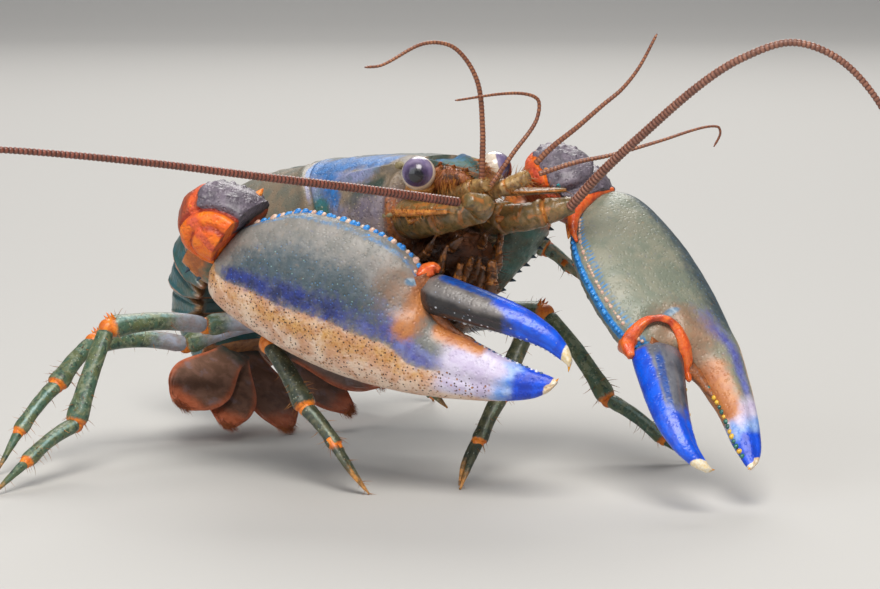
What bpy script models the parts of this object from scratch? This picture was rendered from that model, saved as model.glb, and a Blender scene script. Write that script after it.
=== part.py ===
"""A blue-clawed freshwater crayfish as a life-size display model, standing on its walking legs."""

import math

import bmesh
import bpy
from mathutils import Matrix, Vector

# Lengths here are millimetres and become metres when a mesh is made
MM = 0.001
GAP = 0.3
MERGE = 0.002
FLOOR = 0.0

# Driving sizes of the animal
CARAPACE_LENGTH = 47.0
LEFT_CLAW_SCALE = 0.92
EYE_SPREAD = 5.3
EYE_RADIUS = 1.95
TAIL_FAN_LENGTH = 12.0

# The body axis passes between the eyes, runs back from the rostrum tip and is tipped nose up
EYE_BACK = 5.2
EYE_HEIGHT = 36.0
EYE_Y = -25.0
BODY_PITCH = math.radians(6.0)
FORWARD = Vector((0, -math.cos(BODY_PITCH), math.sin(BODY_PITCH)))
UPWARD = Vector((0, math.sin(BODY_PITCH), math.cos(BODY_PITCH)))
SIDES = {"right": -1, "left": 1}

# Colours of the finished surfaces: base colour, roughness
COLOURS = {
    "shell": ((0.13, 0.16, 0.14), 0.35),
    "claw": ((0.17, 0.19, 0.18), 0.35),
    "finger": ((0.01, 0.09, 0.62), 0.3),
    "joint": ((0.75, 0.14, 0.02), 0.4),
    "leg": ((0.07, 0.13, 0.11), 0.4),
    "feeler": ((0.35, 0.1, 0.04), 0.5),
    "eye": ((0.12, 0.08, 0.2), 0.1),
    "mouth": ((0.16, 0.07, 0.03), 0.5),
    "fan": ((0.35, 0.12, 0.05), 0.45),
}


def body(x, back, height):
    """A point of the body: x to the animal's left, back from the rostrum tip, height over the eye axis."""
    return Vector((x, EYE_Y, EYE_HEIGHT)) + FORWARD * (EYE_BACK - back) + UPWARD * height


def ease(x):
    """A smooth step from 0 to 1."""
    x = min(max(x, 0.0), 1.0)
    return x * x * (3 - 2 * x)


def along(stations, x, column):
    """The smooth value of one column of a station table, whose first column is x."""
    xs = [row[0] for row in stations]
    ys = [row[column] for row in stations]
    if x <= xs[0]:
        return ys[0]
    if x >= xs[-1]:
        return ys[-1]
    i = max(k for k in range(len(xs) - 1) if xs[k] <= x)
    span = xs[i + 1] - xs[i]

    def slope(k):
        if k in (0, len(xs) - 1):
            near = min(max(k, 1), len(xs) - 1)
            return (ys[near] - ys[near - 1]) / (xs[near] - xs[near - 1])
        return (ys[k + 1] - ys[k - 1]) / (xs[k + 1] - xs[k - 1])

    u = (x - xs[i]) / span
    a, b = ys[i], ys[i + 1]
    return (
        (2 * u**3 - 3 * u**2 + 1) * a
        + (u**3 - 2 * u**2 + u) * span * slope(i)
        + (3 * u**2 - 2 * u**3) * b
        + (u**3 - u**2) * span * slope(i + 1)
    )


def smooth_path(points, count):
    """Evenly spaced points on a smooth curve through the given ones."""
    points = [Vector(p) for p in points]
    reach = [0.0]
    for a, b in zip(points, points[1:]):
        reach.append(reach[-1] + (b - a).length)
    tables = [[(s, p[axis]) for s, p in zip(reach, points)] for axis in range(3)]
    spots = [reach[-1] * k / (count - 1) for k in range(count)]
    return [Vector([along(table, s, 1) for table in tables]) for s in spots]


def oval(width, top, bottom, count, power=2.0):
    """The corners of a rounded outline, starting at its top and symmetric from side to side."""
    corners = []
    for k in range(count):
        a = 2 * math.pi * k / count
        across, up = math.sin(a), math.cos(a)
        x = math.copysign(abs(across) ** (2 / power), across) * width
        z = math.copysign(abs(up) ** (2 / power), up) * (top if up > 0 else bottom)
        corners.append((x, z))
    return corners


def loft(rings, strips=True):
    """A closed mesh through rings of equal count, its ends closed by strips or by one whole face."""
    bm = bmesh.new()
    count = len(rings[0])
    rows = [[bm.verts.new(p) for p in ring] for ring in rings]
    for a, b in zip(rows, rows[1:]):
        for k in range(count):
            m = (k + 1) % count
            bm.faces.new((a[k], a[m], b[m], b[k]))
    for row in (rows[0], rows[-1]):
        if not strips:
            bm.faces.new(row)
            continue
        for k in range(count // 2):
            m, n = count - k, count - k - 1
            corners = [row[k], row[k + 1], row[n], row[m % count]]
            bm.faces.new(list(dict.fromkeys(corners)))
    bmesh.ops.recalc_face_normals(bm, faces=bm.faces)
    return bm


def swept(path, sizes, count, up, power=2.0):
    """A loft along a path: sizes holds (half width, half thickness) at each of its points."""
    rings = []
    for k, spot in enumerate(path):
        ahead, behind = path[min(k + 1, len(path) - 1)], path[max(k - 1, 0)]
        way = (ahead - behind).normalized()
        side = way.cross(up).normalized()
        top = side.cross(way)
        width, thick = sizes[k]
        outline = oval(width, thick, thick, count, power)
        rings.append([spot + side * x + top * z for x, z in outline])
    return loft(rings)


def tapered(path, thick_start, thick_end, count, up=Vector((0, 0, 1))):
    """A round whip that thins evenly along its path."""
    last = len(path) - 1
    radii = [thick_start + (thick_end - thick_start) * k / last for k in range(last + 1)]
    return swept(path, [(r, r) for r in radii], count, up)


def spine(root, tip, radius, sides=4):
    """A small pointed spine whose root is sunk in what it grows from."""
    way = (tip - root).normalized()
    side = way.orthogonal().normalized()
    other = way.cross(side)
    foot = root - way * (0.6 * radius)
    bm = bmesh.new()
    ring = []
    for k in range(sides):
        a = 2 * math.pi * k / sides
        ring.append(bm.verts.new(foot + (side * math.cos(a) + other * math.sin(a)) * radius))
    point = bm.verts.new(tip)
    bm.faces.new(ring)
    for k in range(sides):
        bm.faces.new((ring[k], ring[(k + 1) % sides], point))
    bmesh.ops.recalc_face_normals(bm, faces=bm.faces)
    return bm


def knob(centre, way, radius, height):
    """A blunt bead: a four-sided block with a narrower top, half sunk."""
    side = way.orthogonal().normalized()
    other = way.cross(side)
    bm = bmesh.new()
    rows = []
    for level, size in ((-0.8, 1.0), (0.95, 0.62)):
        spots = [side + other, side - other, -side - other, other - side]
        row = [centre + way * (height * level) + q * (radius * size * 0.75) for q in spots]
        rows.append([bm.verts.new(q) for q in row])
    low, high = rows
    bm.faces.new(low)
    bm.faces.new(high)
    for k in range(4):
        m = (k + 1) % 4
        bm.faces.new((low[k], low[m], high[m], high[k]))
    bmesh.ops.recalc_face_normals(bm, faces=bm.faces)
    return bm


def cut_flat(bm, point, normal):
    """Cuts away what lies past a plane and closes the cut with a flat face."""
    found = bm.verts[:] + bm.edges[:] + bm.faces[:]
    bmesh.ops.bisect_plane(
        bm, geom=found, plane_co=point, plane_no=normal, clear_outer=True, dist=1e-5
    )
    rim = [e for e in bm.edges if e.is_boundary]
    if rim:
        bmesh.ops.holes_fill(bm, edges=rim, sides=0)
    bmesh.ops.recalc_face_normals(bm, faces=bm.faces)


def place(bm, name):
    """Turns a bmesh in millimetres into an object in metres."""
    bmesh.ops.transform(bm, matrix=Matrix.Scale(MM, 4), verts=bm.verts)
    bmesh.ops.triangulate(bm, faces=bm.faces)
    mesh = bpy.data.meshes.new(name)
    bm.to_mesh(mesh)
    bm.free()
    obj = bpy.data.objects.new(name, mesh)
    bpy.context.scene.collection.objects.link(obj)
    return obj


def finish(obj, colour):
    """Gives a finished node its material and smooth shading."""
    base, rough = COLOURS[colour]
    material = bpy.data.materials.get(colour)
    if material is None:
        material = bpy.data.materials.new(colour)
        material.use_nodes = True
        shader = material.node_tree.nodes["Principled BSDF"]
        shader.inputs["Base Color"].default_value = (*base, 1)
        shader.inputs["Roughness"].default_value = rough
    obj.data.materials.clear()
    obj.data.materials.append(material)
    obj.data.shade_smooth()
    obj.data.set_sharp_from_angle(angle=math.radians(40))
    return obj


def keep_largest(bm):
    """Drops every closed surface but the one with the largest box."""
    left, groups = set(bm.verts), []
    while left:
        stack, group = [left.pop()], set()
        while stack:
            v = stack.pop()
            group.add(v)
            for e in v.link_edges:
                w = e.other_vert(v)
                if w in left:
                    left.remove(w)
                    stack.append(w)
        groups.append(group)

    def reach(group):
        low = [min(v.co[i] for v in group) for i in range(3)]
        high = [max(v.co[i] for v in group) for i in range(3)]
        return sum(h - w for h, w in zip(high, low))

    best = max(groups, key=reach)
    bmesh.ops.delete(bm, geom=[v for v in bm.verts if v not in best], context="VERTS")


def swollen(obj, amount):
    """A closed copy of a finished object, moved outward along its own normals."""
    bm = bmesh.new()
    bm.from_mesh(obj.data)
    bm.normal_update()
    shifts = [v.normal * (amount * MM) for v in bm.verts]
    for v, shift in zip(bm.verts, shifts):
        v.co += shift
    mesh = bpy.data.meshes.new(obj.name + "_swollen")
    bm.to_mesh(mesh)
    bm.free()
    copy = bpy.data.objects.new(obj.name + "_swollen", mesh)
    return copy


def combined(base, pieces, operation):
    """Applies one Boolean of base with all the pieces, which are then removed."""
    group = bpy.data.collections.new(base.name + "_pieces")
    bpy.context.scene.collection.children.link(group)
    for piece in pieces:
        group.objects.link(piece)
    modifier = base.modifiers.new("Join", "BOOLEAN")
    modifier.operation = operation
    modifier.operand_type = "COLLECTION"
    modifier.collection = group
    modifier.solver = "EXACT"
    graph = bpy.context.evaluated_depsgraph_get()
    joined = bpy.data.meshes.new_from_object(base.evaluated_get(graph))
    base.modifiers.clear()
    base.data = joined
    for piece in list(group.objects):
        bpy.data.objects.remove(piece)
    bpy.data.collections.remove(group)
    bm = bmesh.new()
    bm.from_mesh(joined)
    bmesh.ops.remove_doubles(bm, verts=bm.verts, dist=MERGE * MM)
    bmesh.ops.dissolve_degenerate(bm, edges=bm.edges, dist=MERGE * MM)
    bmesh.ops.triangulate(bm, faces=bm.faces)
    keep_largest(bm)
    bm.to_mesh(joined)
    bm.free()


def fused(name, shapes, colour, clear_of=()):
    """Joins closed shapes into one body, kept a gap away from the finished nodes in clear_of."""
    base = place(shapes[0], name)
    pieces = [place(shape, f"{name}_{k}") for k, shape in enumerate(shapes[1:])]
    for piece in pieces:
        bpy.context.scene.collection.objects.unlink(piece)
    if pieces:
        combined(base, pieces, "UNION")
    if clear_of:
        cutters = [swollen(bpy.data.objects[other], GAP) for other in clear_of]
        combined(base, cutters, "DIFFERENCE")
    return finish(base, colour)


# Carapace: back from the rostrum tip, half width, top, bottom
SHELL = (
    (8.5, 7.2, 1.9, -9.0),
    (12.0, 8.5, 2.2, -13.5),
    (20.0, 9.8, 2.3, -16.5),
    (28.0, 10.4, 2.0, -17.5),
    (31.0, 10.4, 1.7, -17.7),
    (38.0, 10.8, 1.2, -17.7),
    (44.0, 10.2, 0.3, -17.0),
    (CARAPACE_LENGTH, 9.0, -0.5, -16.0),
)
GROOVE_BACK = 31.0
GROOVE_SWEEP = 9.0
SHELL_POWER = 2.3
WIDEST_SHARE = 0.5


def groove_bow(x, z):
    """How far forward of its middle the neck groove lies at a point of the flank."""
    return GROOVE_SWEEP * (x / 9.5) ** 2 + 0.12 * max(0.0, -z)


def front_line(z):
    """Where the head's front face lies: upright by the eyes, sloping back under the mouth."""
    return 8.5 + 5.0 * ease((-z - 7.0) / 9.0)


def shell_outline(back, count):
    """The carapace's outline at one place on the axis, as (x, height) corners."""
    width, top, bottom = (along(SHELL, back, c) for c in (1, 2, 3))
    middle = bottom + (top - bottom) * WIDEST_SHARE
    corners = oval(width, top - middle, middle - bottom, count, SHELL_POWER)
    return [(x, z + middle) for x, z in corners]


def shell_rings(start, end, steps, count, place_back):
    """Rings from one place on the axis to another, each bent by place_back(share, x, z)."""
    rings = []
    for k in range(steps + 1):
        share = k / steps
        back = start + (end - start) * share
        ring = []
        for x, z in shell_outline(back, count):
            ring.append(body(x, place_back(share, back, x, z), z))
        rings.append(ring)
    return rings


# Ridge behind each eye: the outline corner it runs along and its rise on the head's first rings
RIDGE_CORNER = 3
RIDGE_RISE = (0.35, 0.6, 0.5, 0.25)
# Spines on the cheek's front edge: back, x, height, reach
CHEEK_SPINES = ((9.6, 7.2, -4.6, 1.6), (10.6, 7.6, -8.6, 1.1))


def make_carapace(count=28):
    """The head and the thorax, parted along the neck groove, with the rostrum on the head."""

    def head_back(share, back, x, z):
        bowed = GROOVE_BACK - groove_bow(x, z)
        return front_line(z) * (1 - share) + bowed * share

    def thorax_back(share, back, x, z):
        bowed = GROOVE_BACK + GAP - groove_bow(x, z)
        return bowed * (1 - share) + CARAPACE_LENGTH * share

    rings = shell_rings(8.5, GROOVE_BACK - 2.0, 9, count, head_back)
    for ring, rise in zip(rings, RIDGE_RISE):
        for corner, side in ((RIDGE_CORNER, 1), (-RIDGE_CORNER, -1)):
            ring[corner] += (UPWARD * 0.8 + Vector((0.6 * side, 0, 0))) * rise
    head = loft(rings)
    thorax = loft(shell_rings(GROOVE_BACK - 2.0, CARAPACE_LENGTH, 8, count, thorax_back))
    shapes = [head, rostrum()]
    for side in SIDES.values():
        for back, x, height, reach in CHEEK_SPINES:
            root = body(side * x, back, height)
            shapes.append(spine(root, root + FORWARD * reach + Vector((side * 0.5, 0, 0)), 0.6))
    fused("head", shapes, "shell")
    fused("thorax", [thorax], "shell")


# Rostrum: back from its tip, half width, height of its raised edges
ROSTRUM = (
    (0.6, 0.55, -0.4),
    (1.8, 1.2, 0.2),
    (4.5, 2.6, 1.0),
    (9.0, 3.7, 2.1),
    (12.5, 3.8, 2.7),
    (16.0, 3.2, 1.2),
)
ROSTRUM_THICK = 1.3


def rostrum():
    """A flat tapering blade with a raised edge down each side."""
    rings = []
    for back in (0.6, 1.2, 2.2, 4.0, 6.5, 9.0, 12.0, 16.0):
        width, edge = along(ROSTRUM, back, 1), along(ROSTRUM, back, 2)
        dip = min(0.5, 0.3 * (width - 0.4))
        thick = min(ROSTRUM_THICK, 0.6 + 0.3 * width)
        corners = [
            (0, edge - dip),
            (width * 0.55, edge - dip * 0.8),
            (width * 0.8, edge),
            (width, edge - 0.35),
            (width * 0.75, edge - thick),
            (0, edge - thick - 0.2),
        ]
        corners += [(-x, z) for x, z in corners[4:0:-1]]
        rings.append([body(x, back, z) for x, z in corners])
    return loft(rings)


def make_eyes():
    """Each eye is a ball cut flat below, on a stalk that rises from the head's front face."""
    for name, side in SIDES.items():
        centre = body(side * EYE_SPREAD, EYE_BACK, 0)
        root = body(side * (EYE_SPREAD - 1.7), front_line(0) - GAP, -3.2)
        seat = centre - UPWARD * (EYE_RADIUS * 0.72) - FORWARD * 0.2
        way = (centre - (centre - UPWARD)).normalized()
        rings = []
        levels = (-0.72, -0.5, -0.15, 0.25, 0.6, 0.85, 0.98)
        for level in levels:
            r = EYE_RADIUS * math.sqrt(1 - level * level)
            outline = oval(r, r, r, 14)
            mid = centre + way * (EYE_RADIUS * level)
            rings.append([mid + Vector((x, 0, 0)) + FORWARD * z for x, z in outline])
        fused(f"eye_{name}", [loft(rings)], "eye")
        bend = root + (seat - root) * 0.55 - UPWARD * 0.7
        path = smooth_path([root, bend, seat - way * GAP], 6)
        radii = [0.9, 1.0, 1.15, 1.3, 1.4, 1.45]
        rings = []
        for k, (spot, r) in enumerate(zip(path, radii)):
            share = k / (len(path) - 1)
            tilt = FORWARD * (1 - share) + way * share
            across = Vector((1, 0, 0))
            other = across.cross(tilt).normalized()
            rings.append([spot + across * x + other * z for x, z in oval(r, r, r, 10)])
        fused(f"eyestalk_{name}", [loft(rings)], "joint")


# Steps along each jaw foot where it is pinched into a joint
JAW_JOINTS = (5, 9, 12)


def make_mouth():
    """The mouth block in front of the head's lower face, and the outer jaw feet below it."""
    stations = ((0.0, 5.4, -6.6, -15.0), (0.5, 4.8, -6.8, -14.0), (1.0, 3.6, -7.2, -11.5))
    rings = []
    for k in range(6):
        share = k / 5
        width, top, bottom = (along(stations, share, c) for c in (1, 2, 3))
        middle = (top + bottom) / 2
        ring = []
        for x, z in oval(width, top - middle, middle - bottom, 16, 2.4):
            height = z + middle
            rear = front_line(height) - GAP
            ring.append(body(x, rear * (1 - share) + 4.0 * share, height))
        rings.append(ring)
    fused("mouth", [loft(rings)], "mouth")
    for name, side in SIDES.items():
        route = [
            body(side * 3.6, 17.5, -18.6),
            body(side * 3.4, 12.5, -18.4),
            body(side * 3.0, 7.5, -16.6),
            body(side * 2.6, 3.6, -13.2),
            body(side * 2.2, 2.4, -10.4),
        ]
        path = smooth_path(route, 15)
        sizes = []
        for k, spot in enumerate(path):
            pinch = 0.86 if k in JAW_JOINTS else 1.0
            sizes.append(((1.75 - 0.085 * k) * pinch, (1.25 - 0.05 * k) * pinch))
        fused(f"jaw_foot_{name}", [swept(path, sizes, 8, UPWARD)], "mouth")


# Feelers, as places on the body: x to the left, back from the rostrum tip, height
ANTENNA_ROOT = (4.9, 8.2, -5.0)


def make_antennae():
    """Each long feeler: a jointed base, a pointed scale beside it, and a whip in lengths."""
    base_routes = {
        "right": [
            (-ANTENNA_ROOT[0], ANTENNA_ROOT[1], ANTENNA_ROOT[2]),
            (-4.6, 4.6, -5.2),
            (-3.6, 0.6, -4.9),
            (-2.4, -2.6, -4.1),
            (-4.9, -3.4, -3.1),
        ],
        "left": [
            ANTENNA_ROOT,
            (4.9, 4.0, -5.6),
            (5.4, 0.8, -5.7),
            (7.0, -1.6, -5.2),
            (9.3, -3.9, -4.6),
        ],
    }
    widths = (1.9, 1.7, 1.55, 1.35, 1.0)
    for name, side in SIDES.items():
        path = smooth_path([body(*p) for p in base_routes[name]], 12)
        table = [(k / 4, w) for k, w in enumerate(widths)]
        sizes = []
        for k in range(12):
            r = along(table, k / 11, 1) * (1.0 + 0.06 * math.cos(k * math.pi))
            sizes.append((r, r))
        near = ["head", f"eyestalk_{name}", "mouth"]
        fused(f"antenna_base_{name}", [swept(path, sizes, 10, UPWARD)], "mouth", near)
        make_scale(name, side)
        make_whip(name)


# Antenna scale: back, inner edge, outer edge, half thickness
SCALE = (
    (8.6, 6.0, 7.2, 0.5),
    (6.4, 5.6, 8.0, 0.55),
    (3.6, 5.1, 8.3, 0.5),
    (1.0, 4.9, 8.1, 0.42),
    (-0.9, 5.6, 7.9, 0.36),
    (-2.2, 7.0, 7.8, 0.3),
    (-3.2, 7.55, 7.75, 0.22),
)
SCALE_PLACE = {"right": (0.0, -4.3), "left": (1.3, -2.9)}


def make_scale(name, side):
    """The flat blade outside the base, with a thick outer edge that ends in a point."""
    shift, height = SCALE_PLACE[name]
    rings = []
    for back, inner, outer, thick in SCALE:
        mid, half = (inner + outer) / 2 + shift, (outer - inner) / 2
        corners = []
        for x, z in oval(half, thick, thick, 10):
            rim = 1.0 + 0.5 * ease(x / half) if half > 0.3 else 1.0
            corners.append((side * (mid + x), height + z * rim))
        rings.append([body(x, back, z) for x, z in corners])
    near = ["head", f"antenna_base_{name}", f"eyestalk_{name}"]
    fused(f"antenna_scale_{name}", [loft(rings)], "mouth", near)


# Whip routes in millimetres, from the end of each base out to the tip
WHIPS = {
    "right": (
        (-5.5, -33.1, 33.5),
        (-18.5, -34.0, 35.8),
        (-32.0, -34.5, 38.0),
        (-46.0, -34.5, 40.3),
        (-61.5, -33.0, 42.3),
        (-78.0, -29.5, 43.4),
        (-94.0, -24.0, 43.6),
    ),
    "left": (
        (8.6, -34.9, 32.2),
        (9.4, -39.5, 36.4),
        (10.5, -45.0, 40.8),
        (12.3, -53.0, 46.9),
        (14.5, -57.5, 50.0),
        (18.1, -61.5, 51.7),
        (22.5, -64.5, 49.6),
        (26.8, -66.5, 44.2),
        (30.5, -67.5, 36.0),
    ),
}
# Each whip is parted into lengths of some steps, and thins from its root to its tip
WHIP_PARTS = 3
WHIP_STEPS = 11
WHIP_RADIUS = {"right": (0.52, 0.25), "left": (0.58, 0.3)}


def make_whip(name):
    """One long whip, parted into lengths that meet end to end."""
    last = WHIP_PARTS * WHIP_STEPS
    path = smooth_path(WHIPS[name], last + 1)
    root, tip = WHIP_RADIUS[name]
    radii = [root + (tip - root) * k / last for k in range(last + 1)]
    for part in range(WHIP_PARTS):
        first = part * WHIP_STEPS
        spots = path[first : first + WHIP_STEPS + 1]
        thick = radii[first : first + WHIP_STEPS + 1]
        if part:
            way = (spots[1] - spots[0]).normalized()
            spots = [spots[0] + way * GAP, *spots[1:]]
        shape = swept(spots, [(r, r) for r in thick], 6, Vector((0, 0.3, 1)).normalized())
        near = [] if part else [f"antenna_base_{name}"]
        fused(f"antenna_{name}_{part + 1}", [shape], "feeler", near)


# Small feelers: each side's base ends here, with an upper and a lower whip
SMALL_WHIPS = {
    "right_upper": (
        (-1.0, -31.2, 35.6),
        (-1.2, -31.6, 41.5),
        (-2.0, -31.6, 46.8),
        (-4.6, -31.0, 50.4),
        (-8.2, -30.4, 51.0),
        (-13.6, -30.0, 48.8),
        (-15.6, -29.6, 48.6),
    ),
    "right_lower": (
        (-0.2, -31.4, 34.6),
        (2.6, -32.4, 38.6),
        (5.2, -33.0, 42.0),
        (5.4, -33.0, 44.4),
        (2.4, -32.6, 45.2),
        (-5.3, -32.1, 44.7),
    ),
    "left_upper": (
        (3.9, -34.7, 37.4),
        (5.1, -36.0, 39.2),
        (7.1, -38.0, 41.5),
        (9.3, -40.0, 44.1),
        (11.1, -41.0, 45.8),
        (12.7, -42.0, 48.2),
        (14.4, -43.0, 51.9),
    ),
    "left_lower": (
        (4.3, -34.8, 36.2),
        (7.8, -37.0, 37.5),
        (11.3, -39.0, 38.3),
        (16.2, -41.5, 39.8),
        (20.7, -43.0, 41.1),
        (22.9, -43.5, 41.2),
        (23.3, -43.5, 40.4),
        (22.8, -43.0, 38.9),
    ),
}
SMALL_WHIP_RADIUS = (0.38, 0.25)


def make_antennules():
    """The two short forked feelers between the long ones."""
    routes = {
        "right": [(-1.5, 8.2, -2.6), (-1.5, 4.0, -2.4), (-0.9, 0.6, -1.9), (-0.7, -1.0, -1.6)],
        "left": [(1.5, 8.2, -2.8), (1.5, 4.0, -2.9), (1.6, 0.2, -2.4), (3.4, -3.6, -1.0)],
    }
    for name, side in SIDES.items():
        path = smooth_path([body(*p) for p in routes[name]], 9)
        radii = (1.05, 1.15, 1.0, 1.1, 0.95, 1.0, 0.85, 0.9, 0.85)
        shape = swept(path, [(r, r) for r in radii], 10, UPWARD)
        near = ["head", f"eyestalk_{name}", f"antenna_base_{name}"]
        fused(f"antennule_{name}", [shape], "mouth", near)
        for part in ("upper", "lower"):
            route = smooth_path(SMALL_WHIPS[f"{name}_{part}"], 18)
            shape = tapered(route, *SMALL_WHIP_RADIUS, 6, Vector((0, 1, 0.2)).normalized())
            near = [f"antennule_{name}"] + ([f"antennule_{name}_upper"] if part == "lower" else [])
            fused(f"antennule_{name}_{part}", [shape], "feeler", near)


# Claw outline on the palm's own plane, for a claw 42 long: along, inner edge, outer edge
PALM = (
    (0.0, 3.4, -3.6),
    (1.0, 4.4, -5.4),
    (3.0, 5.8, -6.6),
    (6.5, 7.4, -7.6),
    (11.5, 8.4, -8.3),
    (16.5, 8.6, -8.4),
    (20.5, 8.0, -8.1),
    (22.6, 6.9, -7.8),
    (24.4, 4.4, -7.5),
    (26.4, 1.9, -7.1),
    (31.0, 1.3, -5.8),
    (36.0, 0.9, -4.1),
    (39.5, 0.9, -2.5),
    (41.4, 0.9, -0.9),
    (42.0, 0.7, 0.2),
)
PALM_THICK = (
    (0.0, 2.6),
    (3.0, 3.6),
    (9.0, 4.5),
    (17.0, 4.4),
    (24.0, 3.6),
    (31.0, 2.5),
    (38.0, 1.5),
    (41.4, 0.7),
    (42.0, 0.35),
)
# Movable finger, from its hinge: along, inner edge, outer edge, half thickness
FINGER = (
    (0.0, -2.1, 2.0, 1.7),
    (1.5, -2.3, 2.3, 2.3),
    (6.0, -1.9, 2.3, 2.2),
    (11.0, -1.5, 2.1, 1.8),
    (15.0, -1.5, 1.2, 1.2),
    (17.6, -2.1, -0.3, 0.7),
    (18.6, -2.5, -1.6, 0.4),
)
HINGES = {"right": (24.2, 4.6), "left": (22.8, 4.9)}
FINGER_OPEN = {"right": math.radians(2.0), "left": math.radians(14.0)}
FINGER_BROAD = {"right": 1.0, "left": 1.2}
OUTER_ROUND = 2.2
# The palm's base is cut askew: its inner corner lies further along than its outer one
BASE_SKEW = {"right": 0.34, "left": 0.14}
BASE_FADE = 9.0

# Beads along the palm's inner edge and teeth along both cutting edges: number, first, spacing
EDGE_BEADS = 12
EDGE_START = 1.8
EDGE_STEP = 1.6
JAW_TEETH = 6
JAW_START = 27.8
JAW_STEP = 2.0
FINGER_TEETH = 6
FINGER_TEETH_START = 3.8
FINGER_TEETH_STEP = 1.9

# Claw placing: wrist, tip, direction across the palm towards its inner edge
CLAWS = {
    "right": ((-20.8, -9.6, 26.8), (0.2, -43.8, 13.6), (0.20, -0.36, 0.91)),
    "left": ((17.2, -28.6, 31.2), (17.6, -56.6, 4.9), (-1.0, 0.0, 0.04)),
}


class ClawFrame:
    """Axes of one claw: along from wrist to tip, inward across the palm, outward off its face."""

    def __init__(self, name):
        wrist, tip, inward = (Vector(v) for v in CLAWS[name])
        self.scale = 1.0 if name == "right" else LEFT_CLAW_SCALE
        self.wrist = wrist
        self.skew = BASE_SKEW[name]
        self.along = (tip - wrist).normalized()
        self.inward = (inward - self.along * inward.dot(self.along)).normalized()
        self.face = self.along.cross(self.inward) * -SIDES[name]
        self.base_normal = (self.along - self.inward * self.skew).normalized()

    def at(self, u, v, w):
        return self.wrist + (self.along * u + self.inward * v + self.face * w) * self.scale


def palm_ring(frame, u, count):
    """The palm's section: thin at the inner edge, full and round at the outer edge."""
    inner, outer = along(PALM, u, 1), along(PALM, u, 2)
    thick = along(PALM_THICK, u, 1)
    middle, half = (inner + outer) / 2, (inner - outer) / 2
    ring = []
    for v, w in oval(half, 1.0, 1.0, count, OUTER_ROUND):
        share = (v / half + 1) / 2
        belly = thick * (1.12 - 0.3 * share)
        askew = frame.skew * (middle + v) * ease(1 - u / BASE_FADE)
        ring.append(frame.at(u + askew, middle + v, w * belly))
    return ring


def finger_spot(name, x, y):
    """Where a place on the movable finger lies on the palm's own plane."""
    turn = FINGER_OPEN[name]
    hinge_along, hinge_in = HINGES[name]
    a = hinge_along + x * math.cos(turn) - y * math.sin(turn)
    b = hinge_in + x * math.sin(turn) + y * math.cos(turn)
    return a, b


def make_finger(name, frame):
    """The movable finger with its teeth, turned open about its hinge."""
    broad = FINGER_BROAD[name]
    rings = []
    for u in (0.0, 0.7, 1.6, 4.0, 7.0, 10.0, 12.5, 15.0, 16.8, 18.0, 18.6):
        low, high, thick = (along(FINGER, u, c) for c in (1, 2, 3))
        middle, half = broad * (low + high) / 2, broad * (high - low) / 2
        ring = []
        for v, w in oval(half, thick, thick, 14, 2.1):
            ring.append(frame.at(*finger_spot(name, u, middle + v), w))
        rings.append(ring)
    shapes = [loft(rings)]
    for k in range(FINGER_TEETH):
        x = FINGER_TEETH_START + FINGER_TEETH_STEP * k
        size = 0.65 if k % 3 == 1 else 0.48
        root = frame.at(*finger_spot(name, x, broad * along(FINGER, x, 1)), 0)
        shapes.append(knob(root, -frame.inward, size, size))
    fused(f"claw_finger_{name}", shapes, "finger")


def make_claw(name, count=18):
    """The movable finger, and the palm with its fixed finger and the teeth along both edges."""
    frame = ClawFrame(name)
    make_finger(name, frame)
    stops = [0.0, 1.0, 2.6, 5.0, 8.0, 12.0, 16.0, 19.0, 21.0, 22.6, 23.6, 24.6]
    stops += [25.6, 27.0, 30.0, 33.0, 36.0, 38.5, 40.3, 41.4, 42.0]
    shapes = [loft([palm_ring(frame, u, count) for u in stops])]
    for k in range(EDGE_BEADS):
        u = EDGE_START + EDGE_STEP * k
        askew = frame.skew * along(PALM, u, 1) * ease(1 - u / BASE_FADE)
        place = frame.at(u + askew, along(PALM, u, 1), 0)
        size = 0.62 + 0.1 * math.sin(2.4 * k)
        shapes.append(knob(place, frame.inward, size, size * 1.1))
    for k in range(JAW_TEETH):
        u = JAW_START + JAW_STEP * k
        size = 0.85 if k == 1 else 0.5
        shapes.append(knob(frame.at(u, along(PALM, u, 1), 0), frame.inward, size, size))
    fused(f"claw_palm_{name}", shapes, "claw", [f"claw_finger_{name}"])


# Arm joints: thigh root, thigh end at the first joint, elbow
ARMS = {
    "right": ((-6.4, -13.5, 19.6), (-11.0, -13.2, 19.8), (-23.0, -4.6, 27.4)),
    "left": ((6.4, -13.5, 19.6), (8.6, -15.6, 19.2), (14.4, -21.0, 31.6)),
}
# Wrist block: centre, direction along it, upward direction, half length, half width, half thickness
WRISTS = {
    "right": ((-21.2, -9.2, 29.8), (0.45, -0.80, -0.30), (-0.10, 0.30, 0.95), 5.6, 4.7, 4.6),
    "left": ((15.6, -25.2, 32.9), (0.42, -0.70, -0.42), (0.32, -0.10, 0.94), 5.6, 4.7, 4.0),
}
# Spines of each wrist block: shares along, out to the side and up, then reach and radius
WRIST_SPINES = (
    (0.45, 0.75, 0.5, 1.5, 0.95),
    (-0.35, -0.95, 0.2, 1.2, 0.9),
    (0.35, 0.55, -0.75, 2.0, 0.9),
    (0.6, -0.2, -0.9, 1.3, 0.8),
)
# Spines in each row below the thigh, their reach and how far they turn out from straight down
ARM_SPINES = 6
ARM_SPINE_REACH = 1.0
ARM_SPINE_TURN = math.radians(38.0)


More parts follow.
